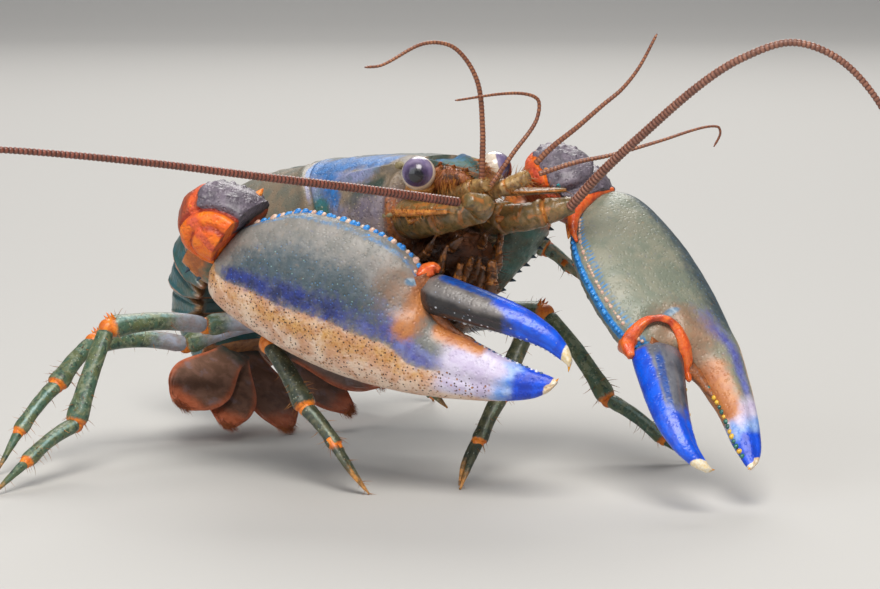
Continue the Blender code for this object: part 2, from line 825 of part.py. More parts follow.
def arm_spines(path, sizes, up):
    """Two rows of small spines along the lower edge of the thigh."""
    spines = []
    for k in range(ARM_SPINES):
        place = 4 + k * 6 / (ARM_SPINES - 1)
        i = int(place)
        spot = path[i].lerp(path[i + 1], place - i)
        way = (path[i + 1] - path[i - 1]).normalized()
        side = way.cross(up).normalized()
        top = side.cross(way)
        width, thick = sizes[i]
        for turn in (-ARM_SPINE_TURN, ARM_SPINE_TURN):
            out = (-top * math.cos(turn) + side * math.sin(turn)).normalized()
            root = spot + side * (math.sin(turn) * width * 0.9) - top * (math.cos(turn) * thick * 0.9)
            spines.append(spine(root, root + (out + way * 0.5) * ARM_SPINE_REACH, 0.5))
    return spines


def make_arm(name):
    """The claw's arm: the wrist block against the palm, and the thigh behind it."""
    frame = ClawFrame(name)
    centre, way, up, length, width, thick = WRISTS[name]
    centre, way, up = Vector(centre), Vector(way).normalized(), Vector(up)
    side = way.cross(up).normalized()
    up = side.cross(way)
    rings = []
    for share in (-1.0, -0.9, -0.65, -0.3, 0.1, 0.5, 0.8, 0.95, 1.0):
        swell = math.sqrt(max(0.06, 1 - abs(share) ** 2.6))
        outline = oval(width * swell, thick * swell, thick * swell * 0.9, 16, 2.2)
        middle = centre + way * (length * share)
        rings.append([middle + side * x + up * z for x, z in outline])
    wrist = loft(rings)
    cut_flat(wrist, frame.wrist - frame.base_normal * GAP, frame.base_normal)
    shapes = [wrist]
    for ahead, out, high, reach, radius in WRIST_SPINES:
        flank = -SIDES[name] * out
        offset = way * (length * ahead) + side * (width * flank) + up * (thick * high)
        root = centre + offset * 0.8
        tip_way = (way * (ahead * 0.6) + side * flank + up * high).normalized()
        shapes.append(spine(root, root + tip_way * (reach + radius), radius, 6))
    fused(f"wrist_{name}", shapes, "joint", [f"claw_palm_{name}"])
    root, knee, elbow = (Vector(p) for p in ARMS[name])
    path = smooth_path([root, knee, knee.lerp(elbow, 0.5), elbow], 12)
    widths = (2.6, 2.5, 2.3, 2.1, 2.4, 2.9, 3.2, 3.5, 3.6, 3.6, 3.3, 2.6)
    sizes = [(w * 0.8, w) for w in widths]
    up = Vector((0, -0.4, 1)).normalized()
    shapes = [swept(path, sizes, 14, up), *arm_spines(path, sizes, up)]
    near = [f"wrist_{name}", f"claw_palm_{name}", "head", "thorax", f"jaw_foot_{name}"]
    fused(f"arm_{name}", shapes, "leg", near)


# Walking legs: root in the body, first joint, knee, the two joints below it and the tip;
# the second to fifth pairs of limbs are counted 1 to 4 here
LEGS = {
    "right_1": (
        ((-5.5, -9.5, 15.6), (-8.2, -13.0, 14.2), (-6.4, -20.6, 13.8)),
        ((-4.4, -23.8, 12.0), (-3.2, -25.0, 10.6), (-2.0, -26.0, 9.0)),
    ),
    "right_2": (
        ((-5.5, -4.0, 15.6), (-10.2, -6.4, 14.8), (-16.4, -10.8, 15.6)),
        ((-16.0, -18.0, 9.2), (-14.4, -21.8, 5.2), (-12.4, -25.4, 0.0)),
    ),
    "right_3": (
        ((-5.5, 1.5, 15.6), (-15.4, 5.2, 15.8), (-28.4, 5.8, 16.6)),
        ((-34.2, 3.4, 6.0), (-42.5, 0.0, 3.0), (-48.0, -2.0, 0.0)),
    ),
    "right_4": (
        ((-5.0, 7.0, 15.4), (-14.6, 11.4, 12.6), (-26.4, 13.0, 13.8)),
        ((-32.6, 11.0, 9.4), (-38.4, 9.6, 4.6), (-42.2, 8.4, 0.0)),
    ),
    "left_1": (
        ((5.5, -9.5, 15.6), (8.6, -10.8, 19.6), (15.4, -14.4, 26.6)),
        ((18.2, -18.0, 25.0), (20.0, -20.2, 22.8), (21.4, -21.6, 21.0)),
    ),
    "left_2": (
        ((5.5, -4.0, 15.6), (12.4, -8.2, 15.0), (11.2, -23.6, 16.6)),
        ((5.4, -25.8, 9.2), (1.2, -27.6, 4.9), (-2.4, -29.0, 0.0)),
    ),
    "left_3": (
        ((5.5, 1.5, 15.6), (12.8, -3.2, 15.2), (19.6, -15.8, 16.9)),
        ((23.4, -23.4, 7.0), (27.2, -29.2, 2.6), (29.8, -32.6, 0.0)),
    ),
    "left_4": (
        ((5.0, 7.0, 15.4), (10.6, 10.4, 14.0), (20.2, 15.6, 16.4)),
        ((24.4, 18.2, 8.4), (26.6, 19.4, 3.8), (28.2, 20.2, 0.0)),
    ),
}
PINCER_LEGS = ("right_1", "right_2", "left_1", "left_2")
# Half widths at the joints, above the knee, below it, and below it on a leg with a pincer
KNEE_RADIUS = 1.35
UPPER_WIDTHS = (1.75, 1.45, 1.3)
LOWER_WIDTHS = (1.2, 1.05, 0.8, 0.3)
PINCER_WIDTHS = (1.15, 1.1, 0.95, 0.25)
# How far a foot runs on before the floor cuts it flat, and how far a pincer's finger stands aside
FOOT_LENGTH = 0.5
PINCER_OFFSET = 0.75


def limb(joints, widths, up):
    """One shape through straight lengths, pinched at each joint between them."""
    path, sizes = [], []
    for k, (a, b) in enumerate(zip(joints, joints[1:])):
        start, end = widths[k], widths[k + 1]
        stops = (0.0, 0.15, 0.85) if k < len(joints) - 2 else (0.0, 0.15, 0.85, 1.0)
        for s in stops:
            path.append(a.lerp(b, s))
            w = start + (end - start) * s
            pinch = 0.82 if s == 0.0 and k else 1.0
            sizes.append((w * pinch, w * pinch * 0.85))
    return swept(path, sizes, 8, up)


def pincer_finger(wrist, tip, up):
    """The movable finger of a small pincer, beside the fixed one and nearly as long."""
    way = (tip - wrist).normalized()
    side = way.cross(up).normalized()
    start = wrist - way * 1.2 + side * (PINCER_OFFSET * 0.6)
    bend = wrist.lerp(tip, 0.45) + side * PINCER_OFFSET
    end = wrist.lerp(tip, 0.86) + side * (PINCER_OFFSET * 0.55)
    sizes = [(0.5, 0.45), (0.48, 0.42), (0.36, 0.34), (0.14, 0.14)]
    return swept(smooth_path([start, bend, end], 4), sizes, 6, up)


def knee_spines(knee, way, up):
    """Three short spines on top of the knee."""
    side = way.cross(up).normalized()
    spines = []
    for share in (-0.7, 0.0, 0.7):
        out = (up + side * share).normalized()
        spines.append(spine(knee + out * 0.7, knee + out * 2.0 + way * 0.4, 0.4))
    return spines


def make_legs():
    """Eight walking legs, each parted at the knee; the first two pairs end in small pincers."""
    up = Vector((0.05, 0.1, 1)).normalized()
    for name, (upper_places, lower_places) in LEGS.items():
        joints = [Vector(p) for p in (*upper_places, *lower_places)]
        way = (joints[2] - joints[1]).normalized()
        upper = [limb(joints[:3], UPPER_WIDTHS, up), *knee_spines(joints[2] - way * 0.6, way, up)]
        side = name.split("_")[0]
        near = ["head", "thorax", f"arm_{side}", f"claw_palm_{side}", f"jaw_foot_{side}"]
        fused(f"leg_{name}_upper", upper, "leg", near)
        reach = (joints[3] - joints[2]).normalized()
        lower = [joints[2] + reach * (KNEE_RADIUS + GAP), *joints[3:]]
        stands = lower_places[-1][2] == FLOOR
        if stands:
            lower[-1] = joints[5] + (joints[5] - joints[4]).normalized() * FOOT_LENGTH
        widths = PINCER_WIDTHS if name in PINCER_LEGS else LOWER_WIDTHS
        shape = limb(lower, widths, up)
        if stands:
            cut_flat(shape, Vector((0, 0, FLOOR)), Vector((0, 0, -1)))
        shapes = [shape]
        if name in PINCER_LEGS:
            shapes.append(pincer_finger(joints[4], joints[5], up))
        fused(f"leg_{name}_lower", shapes, "leg")


# Abdomen: heading of each ring's start on its curl, as turn from straight back, in degrees
RING_LENGTHS = (3.6, 3.4, 3.2, 3.1, 3.0, 3.4)
RING_TURNS = (8.0, 28.0, 48.0, 68.0, 88.0, 107.0)
RING_WIDTHS = (9.2, 9.6, 9.4, 9.0, 8.4, 7.6, 6.6)
RING_HEIGHTS = (7.4, 7.6, 7.2, 6.6, 6.0, 5.2, 4.4)
FAN_TURN = 133.0
# Least and greatest extra drop of the side flaps along each ring
FLAP_DROP = (0.6, 2.4)


def curl_axes(turn):
    """Backward and outward directions of the abdomen after it has curled by turn degrees."""
    a = math.radians(turn)
    backward = -FORWARD * math.cos(a) - UPWARD * math.sin(a)
    outward = UPWARD * math.cos(a) - FORWARD * math.sin(a)
    return backward, outward


def ring_outline(width, height, share, count=18):
    """An arched section whose side flaps hang in a round lobe below a flat underside."""
    drop = FLAP_DROP[0] + FLAP_DROP[1] * math.sin(math.pi * min(1.0, 0.1 + share * 0.9))
    corners = []
    for x, z in oval(width, height, height * 0.55, count, 2.2):
        hang = drop * ease((abs(x) / width - 0.7) / 0.25) if z < 0 else 0.0
        corners.append((x, z - hang))
    return corners


def make_abdomen():
    """Six rings curled down and under, then the telson and the four blades of the tail fan."""
    spot = body(0, CARAPACE_LENGTH + GAP, -7.6)
    for k, length in enumerate(RING_LENGTHS):
        turns = (RING_TURNS[k], RING_TURNS[k + 1] if k < 5 else FAN_TURN)
        rings = []
        steps = 5
        for j in range(steps + 1):
            share = j / steps
            turn = turns[0] + (turns[1] - turns[0]) * share
            backward, outward = curl_axes(turn)
            width = RING_WIDTHS[k] + (RING_WIDTHS[k + 1] - RING_WIDTHS[k]) * share
            height = RING_HEIGHTS[k] + (RING_HEIGHTS[k + 1] - RING_HEIGHTS[k]) * share
            swell = 0.95 + 0.05 * share
            outline = ring_outline(width * swell, height * swell, share)
            rings.append([spot + Vector((x, 0, 0)) + outward * z for x, z in outline])
            if j < steps:
                spot = spot + backward * ((length - GAP) / steps)
        fused(f"abdomen_{k + 1}", [loft(rings)], "shell", [] if k else ["thorax"])
        spot = spot + curl_axes(turns[1])[0] * GAP
    make_fan(spot)


# One half of a blade's section, from its middle rib out: share of its width, share of its thickness
BLADE_SECTION = (
    (0.0, 2.0),
    (0.16, 0.8),
    (0.42, 0.7),
    (0.54, 1.7),
    (0.68, 0.6),
    (1.0, -0.1),
    (0.62, -1.0),
    (0.0, -1.2),
)
BLADE_STOPS = (0.0, 0.22, 0.48, 0.72, 0.89, 1.0)


def blade(origin, way, side, face, length, width, thick):
    """One rounded blade of the tail fan, with a rib down its middle and one on each half."""
    rings = []
    for s in BLADE_STOPS:
        round_end = math.sqrt(max(0.13, 1 - max(0.0, (s - 0.58) / 0.42) ** 2))
        half = width * (0.5 + 0.5 * ease(s / 0.6)) * round_end
        middle = origin + way * (length * s)
        t = thick * (1 - 0.45 * s)
        corners = [(half * x, t * z) for x, z in BLADE_SECTION]
        corners += [(-x, z) for x, z in corners[-2:0:-1]]
        rings.append([middle + side * x + face * z for x, z in corners])
    return loft(rings, strips=False)


# Side blades of the tail fan: spread in degrees, distance out, half width, drop below the telson
FAN_BLADES = {"inner": (31.0, 2.8, 3.4, 1.45), "outer": (58.0, 4.6, 4.0, 2.8)}


def make_fan(spot):
    """The telson in the middle, with an inner and an outer blade on each side."""
    backward, outward = curl_axes(FAN_TURN)
    across = Vector((1, 0, 0))
    telson = blade(spot, backward, across, outward, TAIL_FAN_LENGTH, 3.6, 0.45)
    cut_flat(telson, Vector((0, 0, FLOOR)), Vector((0, 0, -1)))
    fused("telson", [telson], "fan")
    for name, side in SIDES.items():
        for part, (spread, shift, width, drop) in FAN_BLADES.items():
            a = math.radians(spread) * side
            way = backward * math.cos(a) + across * math.sin(a)
            lateral = across * math.cos(a) - backward * math.sin(a)
            clear = GAP + 0.55 * width * math.sin(abs(a))
            origin = spot + across * (side * shift) - outward * drop + backward * clear
            shape = blade(origin, way, lateral, outward, TAIL_FAN_LENGTH, width, 0.4)
            cut_flat(shape, Vector((0, 0, FLOOR)), Vector((0, 0, -1)))
            fused(f"tail_fan_{name}_{part}", [shape], "fan")


def centre_on_floor():
    """Moves the whole animal so that the middle of its box stands over the origin."""
    corners = [v.co for obj in bpy.data.objects for v in obj.data.vertices]
    middle = [(min(p[i] for p in corners) + max(p[i] for p in corners)) / 2 for i in (0, 1)]
    shift = Matrix.Translation((-middle[0], -middle[1], 0))
    for obj in bpy.data.objects:
        obj.data.transform(shift)


def main():
    for obj in list(bpy.data.objects):
        bpy.data.objects.remove(obj)
    make_carapace()
    make_eyes()
    make_mouth()
    make_antennae()
    make_antennules()
    for name in SIDES:
        make_claw(name)
        make_arm(name)
    make_legs()
    make_abdomen()
    centre_on_floor()


main()
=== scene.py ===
"""Finished pieces of a blue-clawed crayfish model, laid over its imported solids."""

import math

import bpy
import numpy as np
from mathutils import Matrix, Vector


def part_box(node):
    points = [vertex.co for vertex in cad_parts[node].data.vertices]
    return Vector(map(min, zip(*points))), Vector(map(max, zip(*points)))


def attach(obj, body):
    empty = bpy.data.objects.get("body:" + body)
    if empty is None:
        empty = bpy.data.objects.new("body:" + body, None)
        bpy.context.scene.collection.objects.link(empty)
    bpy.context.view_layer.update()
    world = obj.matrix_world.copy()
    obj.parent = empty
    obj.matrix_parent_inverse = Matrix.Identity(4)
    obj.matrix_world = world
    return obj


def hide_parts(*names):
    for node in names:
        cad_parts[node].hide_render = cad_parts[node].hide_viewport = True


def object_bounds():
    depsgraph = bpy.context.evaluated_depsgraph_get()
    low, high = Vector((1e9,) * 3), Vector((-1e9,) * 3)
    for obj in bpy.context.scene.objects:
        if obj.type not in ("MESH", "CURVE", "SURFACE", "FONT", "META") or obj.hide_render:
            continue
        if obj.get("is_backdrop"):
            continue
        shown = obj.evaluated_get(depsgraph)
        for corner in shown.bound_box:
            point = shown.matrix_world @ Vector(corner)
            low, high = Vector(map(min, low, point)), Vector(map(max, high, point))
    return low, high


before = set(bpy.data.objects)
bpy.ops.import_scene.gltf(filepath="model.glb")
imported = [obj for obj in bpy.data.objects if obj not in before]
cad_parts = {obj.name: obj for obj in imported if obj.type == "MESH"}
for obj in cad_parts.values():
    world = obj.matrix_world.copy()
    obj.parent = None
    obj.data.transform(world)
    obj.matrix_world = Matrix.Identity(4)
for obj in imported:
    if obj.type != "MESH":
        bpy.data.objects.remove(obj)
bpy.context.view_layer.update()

# Lengths are millimetres in the animal's own frame until a piece is made; the row frame is the
# same frame moved by SHIFT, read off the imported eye
MM = 0.001
EYE_MIDDLE = Vector((5.3, -25.0096, 0.0))
low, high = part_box("eye_left")
SHIFT = Vector(((low.x + high.x) / 2 / MM, (low.y + high.y) / 2 / MM, 0)) - EYE_MIDDLE

# The animal's sizes and routes, as in its solids
CARAPACE_LENGTH = 47.0
LEFT_CLAW_SCALE = 0.92
EYE_SPREAD = 5.3
EYE_RADIUS = 1.95
TAIL_FAN_LENGTH = 12.0
EYE_BACK = 5.2
EYE_HEIGHT = 36.0
EYE_Y = -25.0
BODY_PITCH = math.radians(6.0)
FORWARD = Vector((0, -math.cos(BODY_PITCH), math.sin(BODY_PITCH)))
UPWARD = Vector((0, math.sin(BODY_PITCH), math.cos(BODY_PITCH)))
SIDES = {"right": -1, "left": 1}


def body(x, back, height):
    """A point of the body: x to the animal's left, back from the rostrum tip, height over the eye axis."""
    return Vector((x, EYE_Y, EYE_HEIGHT)) + FORWARD * (EYE_BACK - back) + UPWARD * height


def ease(x):
    """A smooth step from 0 to 1."""
    x = min(max(x, 0.0), 1.0)
    return x * x * (3 - 2 * x)


def along(stations, x, column):
    """The smooth value of one column of a station table, whose first column is x."""
    xs = [row[0] for row in stations]
    ys = [row[column] for row in stations]
    if x <= xs[0]:
        return ys[0]
    if x >= xs[-1]:
        return ys[-1]
    i = max(k for k in range(len(xs) - 1) if xs[k] <= x)
    span = xs[i + 1] - xs[i]

    def slope(k):
        if k in (0, len(xs) - 1):
            near = min(max(k, 1), len(xs) - 1)
            return (ys[near] - ys[near - 1]) / (xs[near] - xs[near - 1])
        return (ys[k + 1] - ys[k - 1]) / (xs[k + 1] - xs[k - 1])

    u = (x - xs[i]) / span
    a, b = ys[i], ys[i + 1]
    return (
        (2 * u**3 - 3 * u**2 + 1) * a
        + (u**3 - 2 * u**2 + u) * span * slope(i)
        + (3 * u**2 - 2 * u**3) * b
        + (u**3 - u**2) * span * slope(i + 1)
    )


def smooth_path(points, count):
    """Evenly spaced points on a smooth curve through the given ones."""
    points = [Vector(p) for p in points]
    reach = [0.0]
    for a, b in zip(points, points[1:]):
        reach.append(reach[-1] + (b - a).length)
    tables = [[(s, p[axis]) for s, p in zip(reach, points)] for axis in range(3)]
    spots = [reach[-1] * k / (count - 1) for k in range(count)]
    return [Vector([along(table, s, 1) for table in tables]) for s in spots]


SHELL = (
    (8.5, 7.2, 1.9, -9.0), (12.0, 8.5, 2.2, -13.5), (20.0, 9.8, 2.3, -16.5), (28.0, 10.4, 2.0, -17.5),
    (31.0, 10.4, 1.7, -17.7), (38.0, 10.8, 1.2, -17.7), (44.0, 10.2, 0.3, -17.0),
    (CARAPACE_LENGTH, 9.0, -0.5, -16.0),
)
GROOVE_BACK = 31.0
GROOVE_SWEEP = 9.0
SHELL_POWER = 2.3
WIDEST_SHARE = 0.5


def front_line(z):
    """Where the head's front face lies: upright by the eyes, sloping back under the mouth."""
    return 8.5 + 5.0 * step(0, 9, -z - 7.0)


ROSTRUM = (
    (0.6, 0.55, -0.4), (1.8, 1.2, 0.2), (4.5, 2.6, 1.0), (9.0, 3.7, 2.1), (12.5, 3.8, 2.7),
    (16.0, 3.2, 1.2),
)
SCALE = (
    (8.6, 6.0, 7.2, 0.5), (6.4, 5.6, 8.0, 0.55), (3.6, 5.1, 8.3, 0.5), (1.0, 4.9, 8.1, 0.42),
    (-0.9, 5.6, 7.9, 0.36), (-2.2, 7.0, 7.8, 0.3), (-3.2, 7.55, 7.75, 0.22),
)
SCALE_PLACE = {"right": (0.0, -4.3), "left": (1.3, -2.9)}
WHIPS = {
    "right": (
        (-5.5, -33.1, 33.5), (-18.5, -34.0, 35.8), (-32.0, -34.5, 38.0), (-46.0, -34.5, 40.3),
        (-61.5, -33.0, 42.3), (-78.0, -29.5, 43.4), (-94.0, -24.0, 43.6),
    ),
    "left": (
        (8.6, -34.9, 32.2), (9.4, -39.5, 36.4), (10.5, -45.0, 40.8), (12.3, -53.0, 46.9),
        (14.5, -57.5, 50.0), (18.1, -61.5, 51.7), (22.5, -64.5, 49.6), (26.8, -66.5, 44.2),
        (30.5, -67.5, 36.0),
    ),
}
WHIP_RADIUS = {"right": (0.52, 0.25), "left": (0.58, 0.3)}
SMALL_WHIPS = {
    "right_upper": (
        (-1.0, -31.2, 35.6), (-1.2, -31.6, 41.5), (-2.0, -31.6, 46.8), (-4.6, -31.0, 50.4),
        (-8.2, -30.4, 51.0), (-13.6, -30.0, 48.8), (-15.6, -29.6, 48.6),
    ),
    "right_lower": (
        (-0.2, -31.4, 34.6), (2.6, -32.4, 38.6), (5.2, -33.0, 42.0), (5.4, -33.0, 44.4),
        (2.4, -32.6, 45.2), (-5.3, -32.1, 44.7),
    ),
    "left_upper": (
        (3.9, -34.7, 37.4), (5.1, -36.0, 39.2), (7.1, -38.0, 41.5), (9.3, -40.0, 44.1),
        (11.1, -41.0, 45.8), (12.7, -42.0, 48.2), (14.4, -43.0, 51.9),
    ),
    "left_lower": (
        (4.3, -34.8, 36.2), (7.8, -37.0, 37.5), (11.3, -39.0, 38.3), (16.2, -41.5, 39.8),
        (20.7, -43.0, 41.1), (22.9, -43.5, 41.2), (23.3, -43.5, 40.4), (22.8, -43.0, 38.9),
    ),
}
PALM = (
    (0.0, 3.4, -3.6), (1.0, 4.4, -5.4), (3.0, 5.8, -6.6), (6.5, 7.4, -7.6), (11.5, 8.4, -8.3),
    (16.5, 8.6, -8.4), (20.5, 8.0, -8.1), (22.6, 6.9, -7.8), (24.4, 4.4, -7.5), (26.4, 1.9, -7.1),
    (31.0, 1.3, -5.8), (36.0, 0.9, -4.1), (39.5, 0.9, -2.5), (41.4, 0.9, -0.9), (42.0, 0.7, 0.2),
)
PALM_THICK = (
    (0.0, 2.6), (3.0, 3.6), (9.0, 4.5), (17.0, 4.4), (24.0, 3.6), (31.0, 2.5), (38.0, 1.5), (41.4, 0.7),
    (42.0, 0.35),
)
FINGER = (
    (0.0, -2.1, 2.0, 1.7), (1.5, -2.3, 2.3, 2.3), (6.0, -1.9, 2.3, 2.2), (11.0, -1.5, 2.1, 1.8),
    (15.0, -1.5, 1.2, 1.2), (17.6, -2.1, -0.3, 0.7), (18.6, -2.5, -1.6, 0.4),
)
HINGES = {"right": (24.2, 4.6), "left": (22.8, 4.9)}
FINGER_OPEN = {"right": math.radians(2.0), "left": math.radians(14.0)}
FINGER_BROAD = {"right": 1.0, "left": 1.2}
OUTER_ROUND = 2.2
BASE_SKEW = {"right": 0.34, "left": 0.14}
BASE_FADE = 9.0
CLAWS = {
    "right": ((-20.8, -9.6, 26.8), (0.2, -43.8, 13.6), (0.20, -0.36, 0.91)),
    "left": ((17.2, -28.6, 31.2), (17.6, -56.6, 4.9), (-1.0, 0.0, 0.04)),
}


class ClawFrame:
    """Axes of one claw: along from wrist to tip, inward across the palm, outward off its face."""

    def __init__(self, name):
        wrist, tip, inward = (Vector(v) for v in CLAWS[name])
        self.scale = 1.0 if name == "right" else LEFT_CLAW_SCALE
        self.wrist = wrist
        self.skew = BASE_SKEW[name]
        self.along = (tip - wrist).normalized()
        self.inward = (inward - self.along * inward.dot(self.along)).normalized()
        self.face = self.along.cross(self.inward) * -SIDES[name]
        self.base_normal = (self.along - self.inward * self.skew).normalized()

    def at(self, u, v, w):
        return self.wrist + (self.along * u + self.inward * v + self.face * w) * self.scale

    def spots(self, u, v, w):
        axes = np.array([self.along, self.inward, self.face])
        return np.array(self.wrist) + np.stack([u, v, w], -1) @ axes * self.scale


def finger_spot(name, x, y):
    """Where a place on the movable finger lies on the palm's own plane."""
    turn = FINGER_OPEN[name]
    hinge_along, hinge_in = HINGES[name]
    a = hinge_along + x * math.cos(turn) - y * math.sin(turn)
    b = hinge_in + x * math.sin(turn) + y * math.cos(turn)
    return a, b


ARMS = {
    "right": ((-6.4, -13.5, 19.6), (-11.0, -13.2, 19.8), (-23.0, -4.6, 27.4)),
    "left": ((6.4, -13.5, 19.6), (8.6, -15.6, 19.2), (14.4, -21.0, 31.6)),
}
WRISTS = {
    "right": ((-21.2, -9.2, 29.8), (0.45, -0.80, -0.30), (-0.10, 0.30, 0.95), 5.6, 4.7, 4.6),
    "left": ((15.6, -25.2, 32.9), (0.42, -0.70, -0.42), (0.32, -0.10, 0.94), 5.6, 4.7, 4.0),
}
LEGS = {
    "right_1": (
        ((-5.5, -9.5, 15.6), (-8.2, -13.0, 14.2), (-6.4, -20.6, 13.8)),
        ((-4.4, -23.8, 12.0), (-3.2, -25.0, 10.6), (-2.0, -26.0, 9.0)),
    ),
    "right_2": (
        ((-5.5, -4.0, 15.6), (-10.2, -6.4, 14.8), (-16.4, -10.8, 15.6)),
        ((-16.0, -18.0, 9.2), (-14.4, -21.8, 5.2), (-12.4, -25.4, 0.0)),
    ),
    "right_3": (
        ((-5.5, 1.5, 15.6), (-15.4, 5.2, 15.8), (-28.4, 5.8, 16.6)),
        ((-34.2, 3.4, 6.0), (-42.5, 0.0, 3.0), (-48.0, -2.0, 0.0)),
    ),
    "right_4": (
        ((-5.0, 7.0, 15.4), (-14.6, 11.4, 12.6), (-26.4, 13.0, 13.8)),
        ((-32.6, 11.0, 9.4), (-38.4, 9.6, 4.6), (-42.2, 8.4, 0.0)),
    ),
    "left_1": (
        ((5.5, -9.5, 15.6), (8.6, -10.8, 19.6), (15.4, -14.4, 26.6)),
        ((18.2, -18.0, 25.0), (20.0, -20.2, 22.8), (21.4, -21.6, 21.0)),
    ),
    "left_2": (
        ((5.5, -4.0, 15.6), (12.4, -8.2, 15.0), (11.2, -23.6, 16.6)),
        ((5.4, -25.8, 9.2), (1.2, -27.6, 4.9), (-2.4, -29.0, 0.0)),
    ),
    "left_3": (
        ((5.5, 1.5, 15.6), (12.8, -3.2, 15.2), (19.6, -15.8, 16.9)),
        ((23.4, -23.4, 7.0), (27.2, -29.2, 2.6), (29.8, -32.6, 0.0)),
    ),
    "left_4": (
        ((5.0, 7.0, 15.4), (10.6, 10.4, 14.0), (20.2, 15.6, 16.4)),
        ((24.4, 18.2, 8.4), (26.6, 19.4, 3.8), (28.2, 20.2, 0.0)),
    ),
}
PINCER_LEGS = ("right_1", "right_2", "left_1", "left_2")
RING_LENGTHS = (3.6, 3.4, 3.2, 3.1, 3.0, 3.4)
RING_TURNS = (8.0, 28.0, 48.0, 68.0, 88.0, 107.0)
RING_WIDTHS = (9.2, 9.6, 9.4, 9.0, 8.4, 7.6, 6.6)
RING_HEIGHTS = (7.4, 7.6, 7.2, 6.6, 6.0, 5.2, 4.4)
FAN_TURN = 133.0
FLAP_DROP = (0.6, 2.4)


def curl_axes(turn):
    """Backward and outward directions of the abdomen after it has curled by turn degrees."""
    a = math.radians(turn)
    backward = -FORWARD * math.cos(a) - UPWARD * math.sin(a)
    outward = UPWARD * math.cos(a) - FORWARD * math.sin(a)
    return backward, outward


FAN_BLADES = {"inner": (31.0, 2.8, 3.4, 1.45), "outer": (58.0, 4.6, 4.0, 2.8)}

# Surfaces
def unit(v):
    """Vectors scaled to length 1."""
    return v / np.maximum(np.linalg.norm(v, axis=-1, keepdims=True), 1e-9)


def hashed(cell, seed):
    """A repeatable number from 0 to 1 for each whole-number lattice point."""
    c = cell.astype(np.int64)
    h = c[..., 0] * 374761393 + c[..., 1] * 668265263 + c[..., 2] * 2147483647 + seed * 974711
    h = (h ^ (h >> 13)) * 1274126177 & 0x7FFFFFFF
    return ((h ^ (h >> 16)) & 0xFFFFF) / 0xFFFFF


def noise(p, size, seed=0, octaves=2):
    """Smooth value noise from 0 to 1 over points in millimetres."""
    total, weight, amount = 0.0, 0.0, 1.0
    for k in range(octaves):
        q = np.asarray(p) / size * 2**k
        base = np.floor(q)
        f = q - base
        f = f * f * (3 - 2 * f)
        value = 0.0
        for corner in range(8):
            o = np.array([corner & 1, corner >> 1 & 1, corner >> 2])
            share = np.prod(np.where(o, f, 1 - f), axis=-1)
            value = value + share * hashed(base + o, seed + k)
        total, weight, amount = total + value * amount, weight + amount, amount / 2
    return total / weight


def step(low, high, x):
    """A smooth step from 0 to 1 between two values."""
    t = np.clip((x - low) / (high - low), 0, 1)
    return t * t * (3 - 2 * t)


def hill(x, centre, width):
    """A smooth bump of height 1."""
    return np.exp(-(((x - centre) / width) ** 2))


def grains(p, size, share, seed=0):
    """Round bumps from 0 to 1, about one in each cell of the given size."""
    q = np.asarray(p) / size
    base = np.floor(q)
    best = np.full(q.shape[:-1], 9.0)
    for k in range(27):
        cell = base + np.array([k % 3 - 1, k // 3 % 3 - 1, k // 9 - 1])
        spot = cell + 0.5 + 0.35 * np.stack([hashed(cell, seed + j) * 2 - 1 for j in range(3)], -1)
        near = np.linalg.norm(q - spot, axis=-1)
        best = np.minimum(best, np.where(hashed(cell, seed + 7) < share, near, 9.0))
    return np.clip(1 - (best / 0.42) ** 2, 0, 1)


def normals_of(rings):
    """Outward normals of a grid of rings."""
    run = np.gradient(rings, axis=0)
    round_ = np.roll(rings, -1, axis=1) - np.roll(rings, 1, axis=1)
    n = unit(np.cross(run, round_))
    outward = rings - rings.mean(axis=1, keepdims=True)
    flip = np.sign((n * outward).sum())
    return n * (flip if flip else 1)


def angles(count):
    """Evenly spaced angles for the points of a ring."""
    return np.arange(count) / count * 2 * np.pi


def wheel(count, power=2.0):
    """A ring of half width and half height 1: round at a power of 2, boxlike above."""
    x, z = np.sin(angles(count)), np.cos(angles(count))
    return np.sign(x) * np.abs(x) ** (2 / power), np.sign(z) * np.abs(z) ** (2 / power)


def uneven(rings, size, seed, depth):
    """Soft unevenness of the given size and depth."""
    return (noise(rings, size, seed) - 0.5) * depth


def bodies(x, back, height):
    """Points of the body from arrays of their places."""
    spots = np.stack(np.broadcast_arrays(x, back, height), -1)
    return np.array([body(*q) for q in spots.reshape(-1, 3)]).reshape(spots.shape)


def raised(rings, amount):
    """Rings moved outward along their normals."""
    return rings + normals_of(rings) * amount[..., None]


def give(obj, material, replaced=()):
    """Material and body of a finished piece, with the imported solids that it replaces hidden."""
    obj.data.materials.clear()
    obj.data.materials.append(material)
    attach(obj, "root")
    if replaced:
        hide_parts(*replaced)
    return obj


def mesh_piece(name, verts, faces, values):
    """A smooth mesh with its normals outward and its values by name."""
    mesh = bpy.data.meshes.new(name)
    spots = (np.asarray(verts, float) + np.array(SHIFT)) * MM
    mesh.from_pydata(spots.tolist(), [], faces)
    mesh.update()
    tri = spots[[f[k] for f in faces for k in (0, 1, 2)]].reshape(-1, 3, 3)
    quads = [f for f in faces if len(f) == 4]
    rest = spots[[f[k] for f in quads for k in (0, 2, 3)]].reshape(-1, 3, 3)
    both = np.concatenate([tri, rest]) - spots.mean(axis=0)
    if np.einsum("ij,ij->i", both[:, 0], np.cross(both[:, 1], both[:, 2])).sum() < 0:
        mesh.flip_normals()
    for key, value in values.items():
        layer = mesh.attributes.new(key, "FLOAT", "POINT")
        layer.data.foreach_set("value", np.asarray(value, np.float32).ravel())
    mesh.shade_smooth()
    obj = bpy.data.objects.new(name, mesh)
    bpy.context.scene.collection.objects.link(obj)
    return obj


